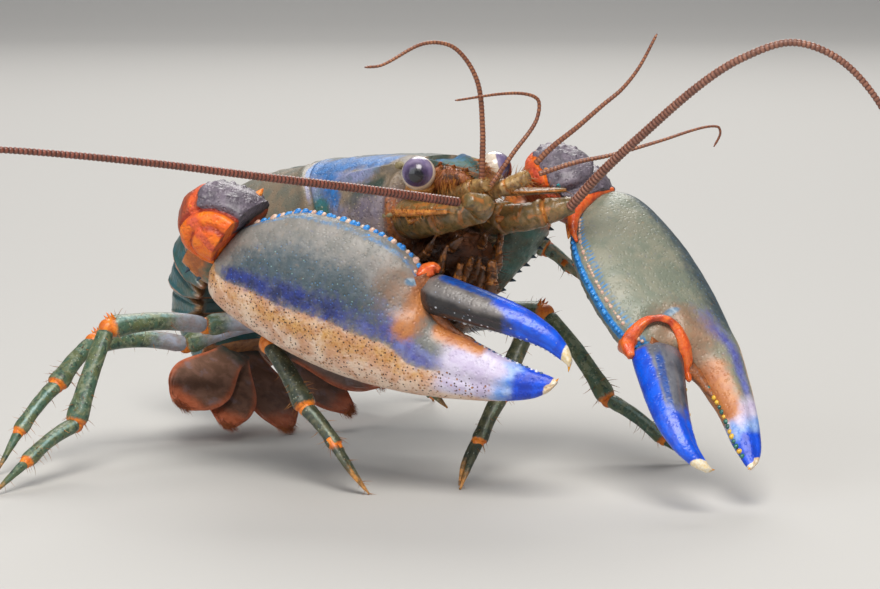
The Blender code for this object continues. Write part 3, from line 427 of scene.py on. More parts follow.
def gridded(parts):
    """Vertices, faces and values of several closed grids of rings, each (rings, values)."""
    verts, faces, start = [], [], 0
    found = {key: [] for _, values in parts for key in values}
    for rings, values in parts:
        m, n = rings.shape[:2]
        idx = start + np.arange(m * n).reshape(m, n)
        nxt = np.roll(idx, -1, axis=1)
        quads = np.stack([idx[:-1], nxt[:-1], nxt[1:], idx[1:]], -1).reshape(-1, 4)
        faces += quads.tolist()
        low_cap, high_cap = start + m * n, start + m * n + 1
        faces += [(low_cap, int(b), int(a)) for a, b in zip(idx[0], nxt[0])]
        faces += [(high_cap, int(a), int(b)) for a, b in zip(idx[-1], nxt[-1])]
        verts += [rings.reshape(-1, 3), rings[0].mean(axis=0)[None], rings[-1].mean(axis=0)[None]]
        for key in found:
            v = np.broadcast_to(np.asarray(values.get(key, 0.0), float), (m, n))
            found[key].append(np.concatenate([v.ravel(), [v[0].mean()], [v[-1].mean()]]))
        start += m * n + 2
    return np.concatenate(verts), faces, {k: np.concatenate(v) for k, v in found.items()}


def skin(name, parts, material, replaced=()):
    """One piece from one or more grids of rings."""
    if isinstance(parts, tuple):
        parts = [parts]
    verts, faces, values = gridded(parts)
    return give(mesh_piece(name, verts, faces, values), material, replaced)


def curve(points, count):
    """A smooth route as an array."""
    return np.array(smooth_path(points, count))


def tube(path, widths, thicks, count, up=(0, 0, 1), power=2.0):
    """Rings round a path, with the share of the way along and the angle from the top in turns."""
    path = np.asarray(path, float)
    way = unit(np.gradient(path, axis=0))
    side = unit(np.cross(way, np.array(up, float)))
    top = np.cross(side, way)
    x, z = wheel(count, power)
    w = np.broadcast_to(widths, len(path))[:, None, None]
    t = np.broadcast_to(thicks, len(path))[:, None, None]
    rings = path[:, None] + side[:, None] * (w * x[:, None]) + top[:, None] * (t * z[:, None])
    share = np.linspace(0, 1, len(path))[:, None] * np.ones(count)
    return rings, share, np.broadcast_to(angles(count) / (2 * np.pi), share.shape)


def profile(stations, shares, column=1):
    """One column of a station table at many places."""
    return np.array([along(stations, s, column) for s in shares])


def ball(centre, axis, radius, count=28, low=-0.995, high=0.995):
    """Rings of a ball round an axis."""
    axis = unit(np.array(axis, float))
    levels = np.sin(np.linspace(math.asin(low), math.asin(high), count // 2))
    path = np.array(centre)[None] + axis[None] * (levels * radius)[:, None]
    r = radius * np.sqrt(1 - levels**2)
    up = (0, 0, 1) if abs(axis[2]) < 0.9 else (0, 1, 0)
    side = unit(np.cross(axis, np.array(up, float)))
    top = np.cross(side, axis)
    x, z = wheel(count)
    spokes = side[None] * x[:, None] + top[None] * z[:, None]
    return path[:, None] + spokes[None] * r[:, None, None]


def cone(root, tip, radius, count=10, rows=7, bend=0.0, bend_way=(0, 0, -1)):
    """Rings of a pointed spine with a rounded tip."""
    root, tip = np.array(root, float), np.array(tip, float)
    s = np.linspace(0, 1, rows)
    path = root + (tip - root) * s[:, None]
    path = path + np.array(bend_way, float) * (bend * s**2)[:, None]
    r = radius * (1 - s) ** 0.8 * (1 - 0.1 * s) + 0.03 * radius
    way = unit(tip - root)
    up = (0, 0, 1) if abs(way[2]) < 0.85 else (0, 1, 0)
    return tube(path, r, r, count, up)[0]


# Materials
def linear(code):
    """A colour from its usual six hexadecimal digits, in linear light."""
    parts = [int(code[k : k + 2], 16) / 255 for k in (0, 2, 4)]
    return tuple(c / 12.92 if c <= 0.04045 else ((c + 0.055) / 1.055) ** 2.4 for c in parts) + (1,)


class Paint:
    """A small builder for one material's node tree."""

    def __init__(self, name, rough=0.35, coat=0.4, coat_rough=0.12):
        self.material = bpy.data.materials.new(name)
        self.material.use_nodes = True
        self.tree = self.material.node_tree
        self.shader = self.tree.nodes["Principled BSDF"]
        looks = {"Roughness": rough, "Coat Weight": coat, "Coat Roughness": coat_rough, "IOR": 1.5}
        for socket, value in looks.items():
            self.shader.inputs[socket].default_value = value
        self.where = self.node("ShaderNodeTexCoord").outputs["Object"]

    def node(self, kind, **settings):
        made = self.tree.nodes.new(kind)
        for key, value in settings.items():
            setattr(made, key, value)
        return made

    def put(self, socket, value):
        if isinstance(value, bpy.types.NodeSocket):
            self.tree.links.new(value, socket)
        else:
            socket.default_value = value

    def texture(self, kind, looks):
        made = self.node(kind)
        for socket, value in looks.items():
            self.put(made.inputs[socket], value)
        return made

    def value(self, name):
        return self.node("ShaderNodeAttribute", attribute_name=name).outputs["Fac"]

    def noise(self, size, detail=3.0, rough=0.55, warp=0.0):
        looks = {"Vector": self.where, "Scale": 1 / (size * MM), "Detail": detail, "Roughness": rough}
        return self.texture("ShaderNodeTexNoise", {**looks, "Distortion": warp}).outputs["Fac"]

    def cells(self, size, random=1.0):
        looks = {"Vector": self.where, "Scale": 1 / (size * MM), "Randomness": random}
        return self.texture("ShaderNodeTexVoronoi", looks).outputs["Distance"]

    def math(self, kind, a, b=0.0):
        n = self.node("ShaderNodeMath", operation=kind)
        self.put(n.inputs[0], a)
        self.put(n.inputs[1], b)
        return n.outputs[0]

    def step(self, low, high, value):
        n = self.node("ShaderNodeMapRange", interpolation_type="SMOOTHSTEP")
        for key, item in (("Value", value), ("From Min", low), ("From Max", high)):
            self.put(n.inputs[key], item)
        return n.outputs["Result"]

    def mix(self, share, a, b):
        n = self.node("ShaderNodeMix", data_type="RGBA")
        self.put(n.inputs[0], share)
        self.put(n.inputs[6], linear(a) if isinstance(a, str) else a)
        self.put(n.inputs[7], linear(b) if isinstance(b, str) else b)
        return n.outputs[2]

    def mottled(self, pair, size):
        """Two colours in soft patches."""
        return self.mix(self.step(0.38, 0.62, self.noise(size, 5.0, 0.62, 0.4)), *pair)

    def layer(self, under, name, pair, size=2.0, soft=0.22, breakup=0.35, grain=0.9):
        """Lays a mottled colour where the named value is over a half, with a broken edge."""
        wobble = self.math("SUBTRACT", self.noise(grain, 4.0, 0.65), 0.5)
        edge = self.math("ADD", self.value(name), self.math("MULTIPLY", wobble, 2 * breakup))
        return self.mix(self.step(0.5 - soft, 0.5 + soft, edge), under, self.mottled(pair, size))

    def dots(self, under, name, colour, size, radius, strength=1.0, random=0.9):
        """Small round dots where the named value is high."""
        spot = self.math("SUBTRACT", 1.0, self.step(radius * 0.6, radius, self.cells(size, random=random)))
        share = self.math("MULTIPLY", spot, strength)
        if name:
            share = self.math("MULTIPLY", share, self.step(0.3, 0.6, self.value(name)))
        return self.mix(share, under, colour)

    def patches(self, under, colour, low, high, strength, *looks):
        """Soft patches of one more colour, everywhere."""
        share = self.math("MULTIPLY", self.step(low, high, self.noise(*looks)), strength)
        return self.mix(share, under, colour)

    def rows(self, colour, *rows):
        """Layers in order, and dots for each row that has only one colour."""
        for name, tone, *sizes in rows:
            lay = self.dots if isinstance(tone, str) else self.layer
            colour = lay(colour, name, tone, *sizes)
        return colour

    def finish(self, colour, bumps=()):
        """Colour, and bumps as (height socket, depth in millimetres)."""
        self.put(self.shader.inputs["Base Color"], colour)
        normal = None
        for height, depth in bumps:
            b = self.node("ShaderNodeBump")
            self.put(b.inputs["Strength"], 1.0)
            self.put(b.inputs["Distance"], depth * MM)
            self.put(b.inputs["Height"], height)
            if normal is not None:
                self.put(b.inputs["Normal"], normal)
            normal = b.outputs["Normal"]
        if normal is not None:
            self.put(self.shader.inputs["Normal"], normal)
        return self.material


# Claws
def palm_paint(name, base_tone, lit):
    p = Paint(name, rough=0.42, coat=0.14, coat_rough=0.3)
    colour = p.mottled(base_tone, 3.5)
    colour = p.rows(
        colour,
        (None, "a9b4b4", 0.5, 0.18, 0.3),
        ("slate", ("3f5058", "34444a"), 1.4, 0.45, 0.5),
        ("slate", "4f86b4", 0.5, 0.2, 0.6),
        ("slate", "8fb8b4", 0.85, 0.12, 0.6),
        ("cream", (lit, "cfa083"), 2.4, 0.12, 0.3, 0.6),
        ("ochre", ("cc9a56", "b8792f"), 1.2, 0.45, 0.6, 0.7),
        ("ochre", "94581a", 0.36, 0.3, 0.75),
        ("band", ("182a78", "121c4c"), 1.0, 0.4, 0.6, 0.8),
        ("band", "3f73cf", 0.42, 0.22, 0.5),
        ("violet", ("4c4f9c", "7078b4"), 1.6, 0.45, 0.5, 0.8),
        ("lilac", ("d0c8dc", "bdb0cc"), 2.0, 0.4, 0.25),
        ("tan", ("c07a40", "b06a3c"), 1.6, 0.4, 0.4),
        ("brown", ("a07c64", "8e7058"), 1.6, 0.45, 0.4),
        ("freckle", "341a10", 0.44, 0.3, 0.95),
        ("freckle", "9a6224", 0.6, 0.27, 0.85),
        ("oval", ("5f7c96", "9fb0bc"), 0.8, 0.25, 0.2, 0.5),
        ("sky", ("5b94de", "86aee6"), 1.5, 0.45, 0.25),
        ("blue", ("0a4fdc", "0838b4"), 1.5, 0.4, 0.3),
        ("stroke", ("2478bc", "4a90c0"), 0.8, 0.3, 0.5, 0.5),
        ("rim", ("f0e2cc", "dcbd94"), 0.8, 0.2, 0.3, 0.5),
    )
    pits = p.step(0.1, 0.45, p.cells(0.5))
    return p.finish(colour, [(p.noise(2.4, 3.0), 0.08), (pits, 0.045), (p.noise(0.24, 2.0), 0.03)])


def finger_paint(name, pair, low):
    p = Paint(name, rough=0.36, coat=0.25, coat_rough=0.22)
    colour = p.mottled(pair, 2.2)
    colour = p.rows(
        colour,
        ("low", low, 1.5, 0.45, 0.3),
        ("navy", ("0f4a9c", "1a3a7c"), 0.9, 0.3, 0.35, 0.5),
        ("blue", ("0058e0", "0a44c4"), 1.4, 0.4, 0.4),
        ("dotted", "d8dde6", 0.7, 0.24, 0.9),
        (None, "9fb0cc", 1.0, 0.1, 0.4),
        ("rim", ("f0e6d2", "e8cf9a"), 0.5, 0.15, 0.15, 0.4),
    )
    pits = p.step(0.1, 0.45, p.cells(0.5))
    return p.finish(colour, [(p.noise(1.6, 3.0), 0.07), (pits, 0.03), (p.noise(0.25, 2.0), 0.02)])


def plain_paint(name, pair, rough=0.35, size=0.8, depth=0.05, coat=0.35, third=None, other=None):
    """Mottled colour with a fine grain, for small pieces, and a second colour where one is asked for."""
    p = Paint(name, rough=rough, coat=coat, coat_rough=0.15)
    colour = p.mottled(pair, size)
    if third:
        colour = p.mix(p.step(0.55, 0.7, p.noise(size * 2.5, 3.0)), colour, third)
    if other:
        colour = p.layer(colour, "other", other, 0.7, 0.2, 0.15, 0.5)
    return p.finish(colour, [(p.noise(size * 0.4, 3.0), depth)])


paints = {
    "palm_right": palm_paint("palm_near", ("8f8a84", "7a7872"), "e6cdb8"),
    "palm_left": palm_paint("palm_far", ("8d8c7a", "7a8070"), "d9c0a4"),
    "finger_right": finger_paint("finger_near", ("736c68", "5a5452"), ("1d1d22", "2b2829")),
    "finger_left": finger_paint("finger_far", ("74757c", "5c5e68"), ("4c4e58", "3c3e46")),
    "bead": plain_paint("bead", ("1f78c8", "3c93d6"), 0.35, 0.75, other=("d9bda8", "c79c88")),
    "tooth_right": plain_paint("tooth_near", ("26406e", "46648e"), 0.3, 0.8, other=("dfe3e6", "c9cdd6")),
    "tooth_left": plain_paint("tooth_far", ("1d4a44", "2f7566"), 0.3, 0.8, other=("e4bc3c", "d09a28")),
    "hook": plain_paint("hook", ("e9a425", "d88a1c"), 0.25, 0.7, 0.02),
    "membrane": plain_paint("membrane", ("d8501a", "e8702a"), 0.35, 1.0, 0.12, third="a3300f"),
    "gape": plain_paint("gape", ("7a4626", "9c5a2c"), 0.45, 0.8, 0.16, 0.15, third="3c2114"),
}
# How far the left claw's cutting edge stands back beside the root of its broader finger
NOTCH = {"right": 0.0, "left": 1.5}
FINGER_FULL = {"right": 0.0, "left": 0.55}


def inner_edge(name, u):
    """The palm's inner edge and the fixed finger's cutting edge, at one place along the claw."""
    return along(PALM, u, 1) - NOTCH[name] * ease((u - 22.6) / 3.0) * (1 - ease((u - 31.0) / 8.0))


def low_edge(name, x):
    """The moving finger's cutting edge."""
    return FINGER_BROAD[name] * along(FINGER, max(x, 0), 1) * (1 + FINGER_FULL[name] * max(0, 1 - x / 17))


def palm_values(name, u, v, share, w):
    """Where each colour lies on a palm, from place along, share of the width and side."""
    p = np.stack([u, v, w * 3], -1)
    s = share + uneven(p, 5.0, 3, 0.08)
    ragged = (noise(p, 2.0, 5) - 0.5)
    hinge_u, hinge_v = HINGES[name]
    late = step(36.4, 38.8, u + ragged * 2.5)
    before = 1 - late
    tip = step(40.7, 41.3, u) * step(0.75, 0.45, share) + step(41.3, 41.7, u)
    if name == "right":
        border = [(0, 0.33), (8, 0.37), (16, 0.37), (24, 0.40), (30, 0.46), (34, 0.5)]
        edge = profile(border, u[:, 0])[:, None]
        cream = 1 - step(edge - 0.07, edge + 0.07, s)
        broken = 0.5 + 0.8 * noise(p, 2.6, 15)
        band = hill(s, edge + 0.08, 0.1) * (1 - step(24, 31, u)) * step(0.5, 3.0, u) * np.minimum(broken, 1)
        band = band * (1 - 0.35 * step(14, 24, u))
        violet = 0.75 * hill(s, 0.57, 0.13) * hill(u, 26.0, 5.5)
        violet = violet + 0.3 * hill(s, edge + 0.07, 0.06) * hill(u, 21, 5)
        slate = 0.85 * hill(s, edge + 0.22, 0.22) * (1 - 0.5 * step(20, 27, u)) * step(0, 4, u)
        slate = np.maximum(slate, 0.8 * hill(s, edge + 0.25, 0.2) * hill(u, 4.5, 3.5))
        lilac = step(27.0, 31.5, u) * step(0.03, 0.22, s) * before
        tan = hill(u, 24.3, 1.5) * step(-2.2, 0.6, v)
        tan = np.maximum(tan, hill(share, 0.95, 0.1) * step(26, 27.5, u) * (1 - step(32.5, 34, u)))
        brown = 0.6 * hill(u, 22.0, 3.4) * hill(share, 0.78, 0.22)
        ochre = hill(s, edge - 0.1, 0.12) * (1 - step(33, 35, u)) * (0.62 + 0.7 * ragged)
        freckle = cream * (1 - 0.55 * step(31, 36, u)) * (0.4 + 0.6 * step(0.02, 0.14, share))
        oval = hill(np.hypot((u - hinge_u + 1.3) / 1.5, v - 5.3), 0, 0.5)
        stroke = hill(share, 0.97, 0.02) * (u < 24) * 0.45
    else:
        cream = hill(s, 0.06, 0.13) * step(23, 27, u) * before
        band = 0 * s
        violet = hill(s, 0.36, 0.15) * step(18, 24, u) * (1 - step(32, 36, u)) * 0.8
        slate = hill(s, 0.1, 0.2) * (1 - step(21, 27, u)) * 0.95
        lilac = step(31.5, 35, u) * before * step(0.02, 0.15, s)
        tan = hill(share, 0.9, 0.28) * step(25.5, 28, u) * (1 - step(34, 36.5, u))
        near = np.hypot(u - hinge_u - 1.0, v - hinge_v + 3.2)
        tan = np.maximum(tan, hill(near, 1.2, 1.8) * 0.42)
        brown = 0.7 * hill(near, 2.5, 2.5)
        ochre = tan * 0.45 * (0.5 + ragged)
        freckle = 0.5 * cream
        oval = hill(np.hypot((u - hinge_u + 2.4) / 0.6, (v - 2.2) / 1.6), 0, 0.8)
        dashes = 0.5 + 0.5 * np.sin(u * 13 + 4 * ragged)
        stroke = hill(share, 0.955, 0.03) * (u < 22.5) * dashes * (0.8 + ragged)
        stroke = np.maximum(stroke, step(0.992, 0.998, share) * (u < 24))
        stroke = np.maximum(stroke, hill(share, 0.985, 0.04) * hill(u, 22.6, 1.0))
    sky = step(34.5, 37.6, u + ragged * 3) * 0.75
    return dict(band=band, cream=cream, slate=slate, freckle=freckle, lilac=lilac, tan=tan, blue=late,
                violet=violet, brown=brown, ochre=ochre, oval=oval, sky=sky, stroke=stroke, rim=tip)


def palm_piece(name, frame_):
    count, stations = 120, 170
    u = np.concatenate([np.linspace(0, 38, 140, endpoint=False), np.linspace(38, 42, stations - 140)])
    inner = np.array([inner_edge(name, q) for q in u])
    outer, thick = profile(PALM, u, 2), profile(PALM_THICK, u)
    x, z = wheel(count, OUTER_ROUND)
    mid, half = ((inner + outer) / 2)[:, None], ((inner - outer) / 2)[:, None]
    v = mid + half * x[None]
    share = (x[None] + 1) / 2 * np.ones_like(v)
    w = thick[:, None] * (1.12 - 0.3 * share) * z[None]
    uu = u[:, None] * np.ones_like(v)
    # hinge shoulder, a shallow trough behind the cutting edge and a low ridge along the fixed finger
    near = np.hypot(uu - HINGES[name][0] + 1.0, v - HINGES[name][1] + 0.6)
    w = w * (1 + 0.10 * hill(near, 3.2, 1.3) - 0.16 * hill(near, 1.2, 1.2))
    on_finger = step(27, 31, uu)
    w = w * (1 + 0.08 * hill(share, 0.62, 0.13) * on_finger - 0.07 * hill(share, 0.4, 0.1) * on_finger)
    fade = np.array([ease(1 - q / BASE_FADE) for q in u])[:, None]
    moved = uu + frame_.skew * v * fade
    rings = frame_.spots(moved, v, w)
    local = np.stack([uu, v, w], -1)
    lumps = uneven(local, 3.5, 11, 0.12) + uneven(local, 0.8, 12, 0.03)
    scales = grains(local, 0.9, 0.35, 4) * 0.035 * (1 - step(30, 35, uu))
    rows = hill(share, 0.965, 0.03) * grains(local, 0.9, 0.8, 21) * 0.12 * (uu < 24)
    rings = raised(rings, lumps + scales + rows)
    values = palm_values(name, uu, v, share, w)
    skin(f"palm_skin_{name}", (rings, values), paints[f"palm_{name}"], [f"claw_palm_{name}"])


def finger_piece(name, frame_):
    broad, stations, count = FINGER_BROAD[name], 110, 72
    x = np.linspace(-0.6, 18.6, stations)
    low_ = np.array([low_edge(name, q) for q in x])
    high_, thick = (profile(FINGER, np.maximum(x, 0), c) for c in (2, 3))
    close = np.sqrt(np.clip(1 - (np.minimum(x, 1.6) - 1.6) ** 2 / 5.2, 0.05, 1))
    across, out = wheel(count)
    mid, half = (low_ + broad * high_) / 2, (broad * high_ - low_) / 2
    y = mid[:, None] + (half * close)[:, None] * across
    w = (thick * close)[:, None] * out
    share = (across[None] + 1) / 2 * np.ones_like(y)
    xx = x[:, None] * np.ones_like(y)
    # a groove along each face and a rounded keel on the back
    w = w * (1 - 0.1 * hill(share, 0.3, 0.09) * step(2.5, 5, xx) + 0.07 * hill(share, 0.6, 0.12))
    turn, (hu, hv) = FINGER_OPEN[name], HINGES[name]
    au = hu + xx * math.cos(turn) - y * math.sin(turn)
    av = hv + xx * math.sin(turn) + y * math.cos(turn)
    rings = frame_.spots(au, av, w)
    local = np.stack([xx, y, w], -1)
    rings = raised(rings, uneven(local, 2.0, 31, 0.1) + grains(local, 0.9, 0.3, 5) * 0.03)
    ragged = noise(local, 2.0, 7) - 0.5
    if name == "right":
        blue = step(9.0, 12.4, xx + ragged * 3 + 1.5 * hill(share, 0.9, 0.2))
        low = step(0.72, 0.4, share + ragged * 0.2)
        navy = hill(share, 1.0, 0.1) * step(0.5, 2.5, xx)
        dotted = hill(share, 0.2, 0.16) * step(1, 3, xx) * (1 - step(14, 16, xx))
    else:
        on_edge = step(0.76, 0.92, share + ragged * 0.15) * step(0.3, 2, xx)
        blue = np.maximum(step(9.0, 12.5, xx + ragged * 4), on_edge)
        low = step(0.45, 0.15, share + ragged * 0.2)
        navy = hill(share, 0.7, 0.08) * step(1, 4, xx)
        dotted = 0.8 * hill(share, 0.08, 0.1) * step(5, 7, xx)
    values = dict(blue=blue, low=low, navy=navy, dotted=dotted, rim=step(17.2, 17.9, xx))
    skin(f"finger_skin_{name}", (rings, values), paints[f"finger_{name}"],
         [f"claw_finger_{name}"])


def bead_rings(centre, way, along_, radius, height, count=14):
    """A low bead standing on an edge."""
    way, run = unit(np.array(way)), unit(np.array(along_))
    s = np.linspace(-0.6, 1, 8)
    r = radius * np.sqrt(np.clip(1 - np.clip(s, 0, 1) ** 2, 0.01, 1)) * (1 + 0.15 * (s < 0))
    path = np.array(centre)[None] + way[None] * (s * height)[:, None]
    side = unit(np.cross(way, run))
    x, z = wheel(count)
    spokes = run[None] * x[:, None] * 1.1 + side[None] * z[:, None]
    return path[:, None] + spokes[None] * r[:, None, None]


# For each row of beads along the inner edge: drop from it, side, pitch, radius
BEAD_ROWS = {
    "right": ((0.0, 0.2, 0.6, 0.32), (0.55, 1.0, 0.8, 0.22)),
    "left": ((0.0, 0.2, 0.5, 0.27), (0.45, 1.15, 0.5, 0.24)),
}
# Pitch and radius of the teeth, on the palm's finger and on the moving finger
TEETH = {"right": ((0.6, 0.15), (0.62, 0.15)), "left": ((0.74, 0.26), (0.8, 0.2))}


def claw_pieces(name):
    f = ClawFrame(name)
    palm_piece(name, f)
    finger_piece(name, f)
    k = f.scale
    beads, teeth = [], []
    for row, (drop, side, pitch, size) in enumerate(BEAD_ROWS[name]):
        for i, u in enumerate(np.arange(1.0, 23.6, pitch)):
            askew = f.skew * along(PALM, u, 1) * ease(1 - u / BASE_FADE)
            radius = (size + 0.06 * math.sin(i * 2.4) + 0.04 * math.sin(i * 5.1)) * k
            at = f.at(u + askew + 0.1 * math.sin(i * 3.3), inner_edge(name, u) - drop, side)
            way = f.inward + f.face * (0.1 + 0.6 * row) + f.along * 0.25
            other = row if name == "left" else (i * 7 + row) % 5 < 2
            beads.append((bead_rings(at, way, f.along, radius, radius * 1.25, 12), {"other": float(other)}))
    skin(f"edge_beads_{name}", beads, paints["bead"])
    (pitch, size), (finger_pitch, finger_size) = TEETH[name]
    for i, u in enumerate(np.arange(26.8, 40.4, pitch)):
        radius = size * (1.7 if i == 4 else 1 + 0.3 * abs(math.sin(i * 1.9))) * k
        at = f.at(u, inner_edge(name, u) - 0.1, 0.1)
        tooth = bead_rings(at, f.inward, f.along, radius, radius * 1.3)
        teeth.append((tooth, {"other": float(i * 5 % 7 < 3)}))
    for i, x in enumerate(np.arange(3.0, 16.8, finger_pitch)):
        radius = finger_size * (1.8 if i in (4, 9) else 1 + 0.3 * abs(math.sin(i * 1.3 + 1))) * k
        at = f.at(*finger_spot(name, x, low_edge(name, x) + 0.1), 0.05)
        tooth = bead_rings(at, -f.inward, f.along, radius, radius * 1.3)
        teeth.append((tooth, {"other": float(i * 3 % 5 < 3)}))
    skin(f"cutting_teeth_{name}", teeth, paints[f"tooth_{name}"])
    hooks = []
    end = f.at(41.5, 0.1, 0)
    top = f.at(*finger_spot(name, 18.3, FINGER_BROAD[name] * -1.9), 0)
    for at, way in ((end, f.along * 0.8 + f.inward * 1.0), (top, f.along * 0.6 - f.inward * 1.2)):
        hooks.append((cone(at, at + way * k, 0.27 * k, 14, 12, 0.25, -f.along), {}))
    skin(f"claw_hooks_{name}", hooks, paints["hook"])
    membrane(name, f)


# Soft skin over the root of the finger: places from the hinge along and across the finger, and radii
# Folds round each finger's root on the finger's plane, with radii; the fold between the far wrist and its
# palm, from the palm's inner edge; and the tissue in the gape, over that edge
FOLDS = {
    "right": ((1.0, 2.7, 0.3), (0.3, 2.7, 0.75), (-0.4, 2.2, 0.8), (-0.9, 1.5, 0.3)),
    "left": ((1.8, 3.1, 0.5), (0.0, 3.1, 1.0), (-1.5, 1.9, 0.65), (-2.0, 0.0, 0.42), (-1.3, -1.9, 0.6),
             (1.0, -3.5, 0.85), (3.4, -4.3, 0.75), (4.6, -4.3, 0.2)),
}
WRIST_FOLD = ((6.0, 0.1, 1.0), (3.2, 0.7, 1.2), (0.8, 0.5, 1.6), (-0.5, -2.5, 2.2), (-0.4, -5.2, 2.2))
GAPE_ROUTE = ((23.0, -0.6), (25.5, 0.2), (28.0, 0.2), (31.5, 0.0))


def claw_height(name, x, y):
    """How far the palm or the moving finger reaches from the claw's middle plane at one place."""
    u, v = finger_spot(name, x, y)
    best = 0.0
    low_, high_ = low_edge(name, x), FINGER_BROAD[name] * along(FINGER, max(x, 0), 2)
    outer, inner = along(PALM, u, 2), inner_edge(name, u)
    thick = along(PALM_THICK, u, 1)
    for place, low, high, height, power in ((y, low_, high_, along(FINGER, max(x, 0), 3), 2.0),
                                            (v, outer, inner, thick, OUTER_ROUND)):
        off = abs((2 * place - low - high) / (high - low))
        if off < 1:
            best = max(best, height * (1 - off**power) ** (1 / power))
    return best


def membrane(name, f):
    """Soft folded skin round the root of the finger, and the tissue deep in the gape."""
    folds = []
    for face in (1, -1):
        route = []
        for x, y, radius in FOLDS[name]:
            height = max(0, claw_height(name, x, y) - 0.2 * radius)
            route.append(f.at(*finger_spot(name, x, y), face * height))
        path = curve(route, 64)
        places = [(k / (len(FOLDS[name]) - 1), row[2]) for k, row in enumerate(FOLDS[name])]
        r = profile(places, np.linspace(0, 1, 64)) * f.scale
        rings, _, angle = tube(path, r, r * 0.85, 28, f.face)
        rings = raised(rings, uneven(rings, 1.1, 9, 0.2) + 0.04 * np.sin(angle * 6.283 * 4))
        folds.append((rings, {}))
    if name == "left":
        route = []
        for u, v, w in WRIST_FOLD:
            v = inner_edge(name, max(u, 0)) + v
            route.append(f.at(u + f.skew * v * ease(1 - u / BASE_FADE), v, w))
        path = curve(route, 60)
        r = profile([(0, 0.15), (0.2, 0.6), (0.5, 0.8), (0.8, 0.7), (1, 0.4)], np.linspace(0, 1, 60))
        rings, _, _ = tube(path, r, r, 28, f.face)
        folds.append((raised(rings, uneven(rings, 1.1, 9, 0.3)), {}))
    skin(f"finger_membrane_{name}", folds, paints["membrane"])
    route = [f.at(u, inner_edge(name, u) + over, 0) for u, over in GAPE_ROUTE]
    r = np.array([1.5, 1.0, 0.6, 0.1])
    path = curve(route, 40)
    wide = np.interp(np.linspace(0, 3, 40), range(4), r) * (1.3 if name == "left" else 1.0)
    rings, _, _ = tube(path, wide, wide * 0.9, 30, f.face)
    rings = raised(rings, uneven(rings, 0.9, 19, 0.4))
    skin(f"gape_tissue_{name}", (rings, {}), paints["gape"])


for side_name in SIDES:
    claw_pieces(side_name)


# Carapace, rostrum and eyes
def shell_paint(name, rough, coat):
    p = Paint(name, rough=rough, coat=coat, coat_rough=0.3)
    colour = p.mottled(("7d6c58", "655a4c"), 1.8)
    colour = p.rows(
        colour,
        ("rear", ("80705c", "68675a"), 2.6, 0.35, 0.3),
        ("dark", ("2c3b34", "35463c"), 1.6, 0.35, 0.35),
        ("violet", ("83757c", "6d6370"), 1.4, 0.4, 0.45),
        ("teal", ("2c6468", "3a5a4c"), 1.3, 0.35, 0.4),
        # lilac on the shell: a painted highlight, the light strip along the ridge behind the eye
        ("lilac", ("8c8cae", "767a9c"), 1.3, 0.45, 0.45, 0.8),
        ("blue", ("2a72b8", "2a5c94"), 1.3, 0.4, 0.45, 0.8),
        # pale: a painted highlight on the rear edge of the neck groove and along the ridge behind the eye; on
        # the spines of the beak and the head's front it is their own pale colour
        ("pale", ("94845f", "7c7050"), 0.9, 0.35, 0.4, 0.6),
        ("orange", ("a8602c", "7d4a24"), 0.9, 0.35, 0.5, 0.5),
        ("speckle", "b3a48c", 0.5, 0.22, 0.6),
        ("speckle", "3a342c", 0.6, 0.22, 0.6),
    )
    pits = p.step(0.08, 0.4, p.cells(0.42))
    return p.finish(colour, [(p.noise(1.6, 3.0), 0.08), (pits, 0.05), (p.noise(0.22, 2.0), 0.03)])


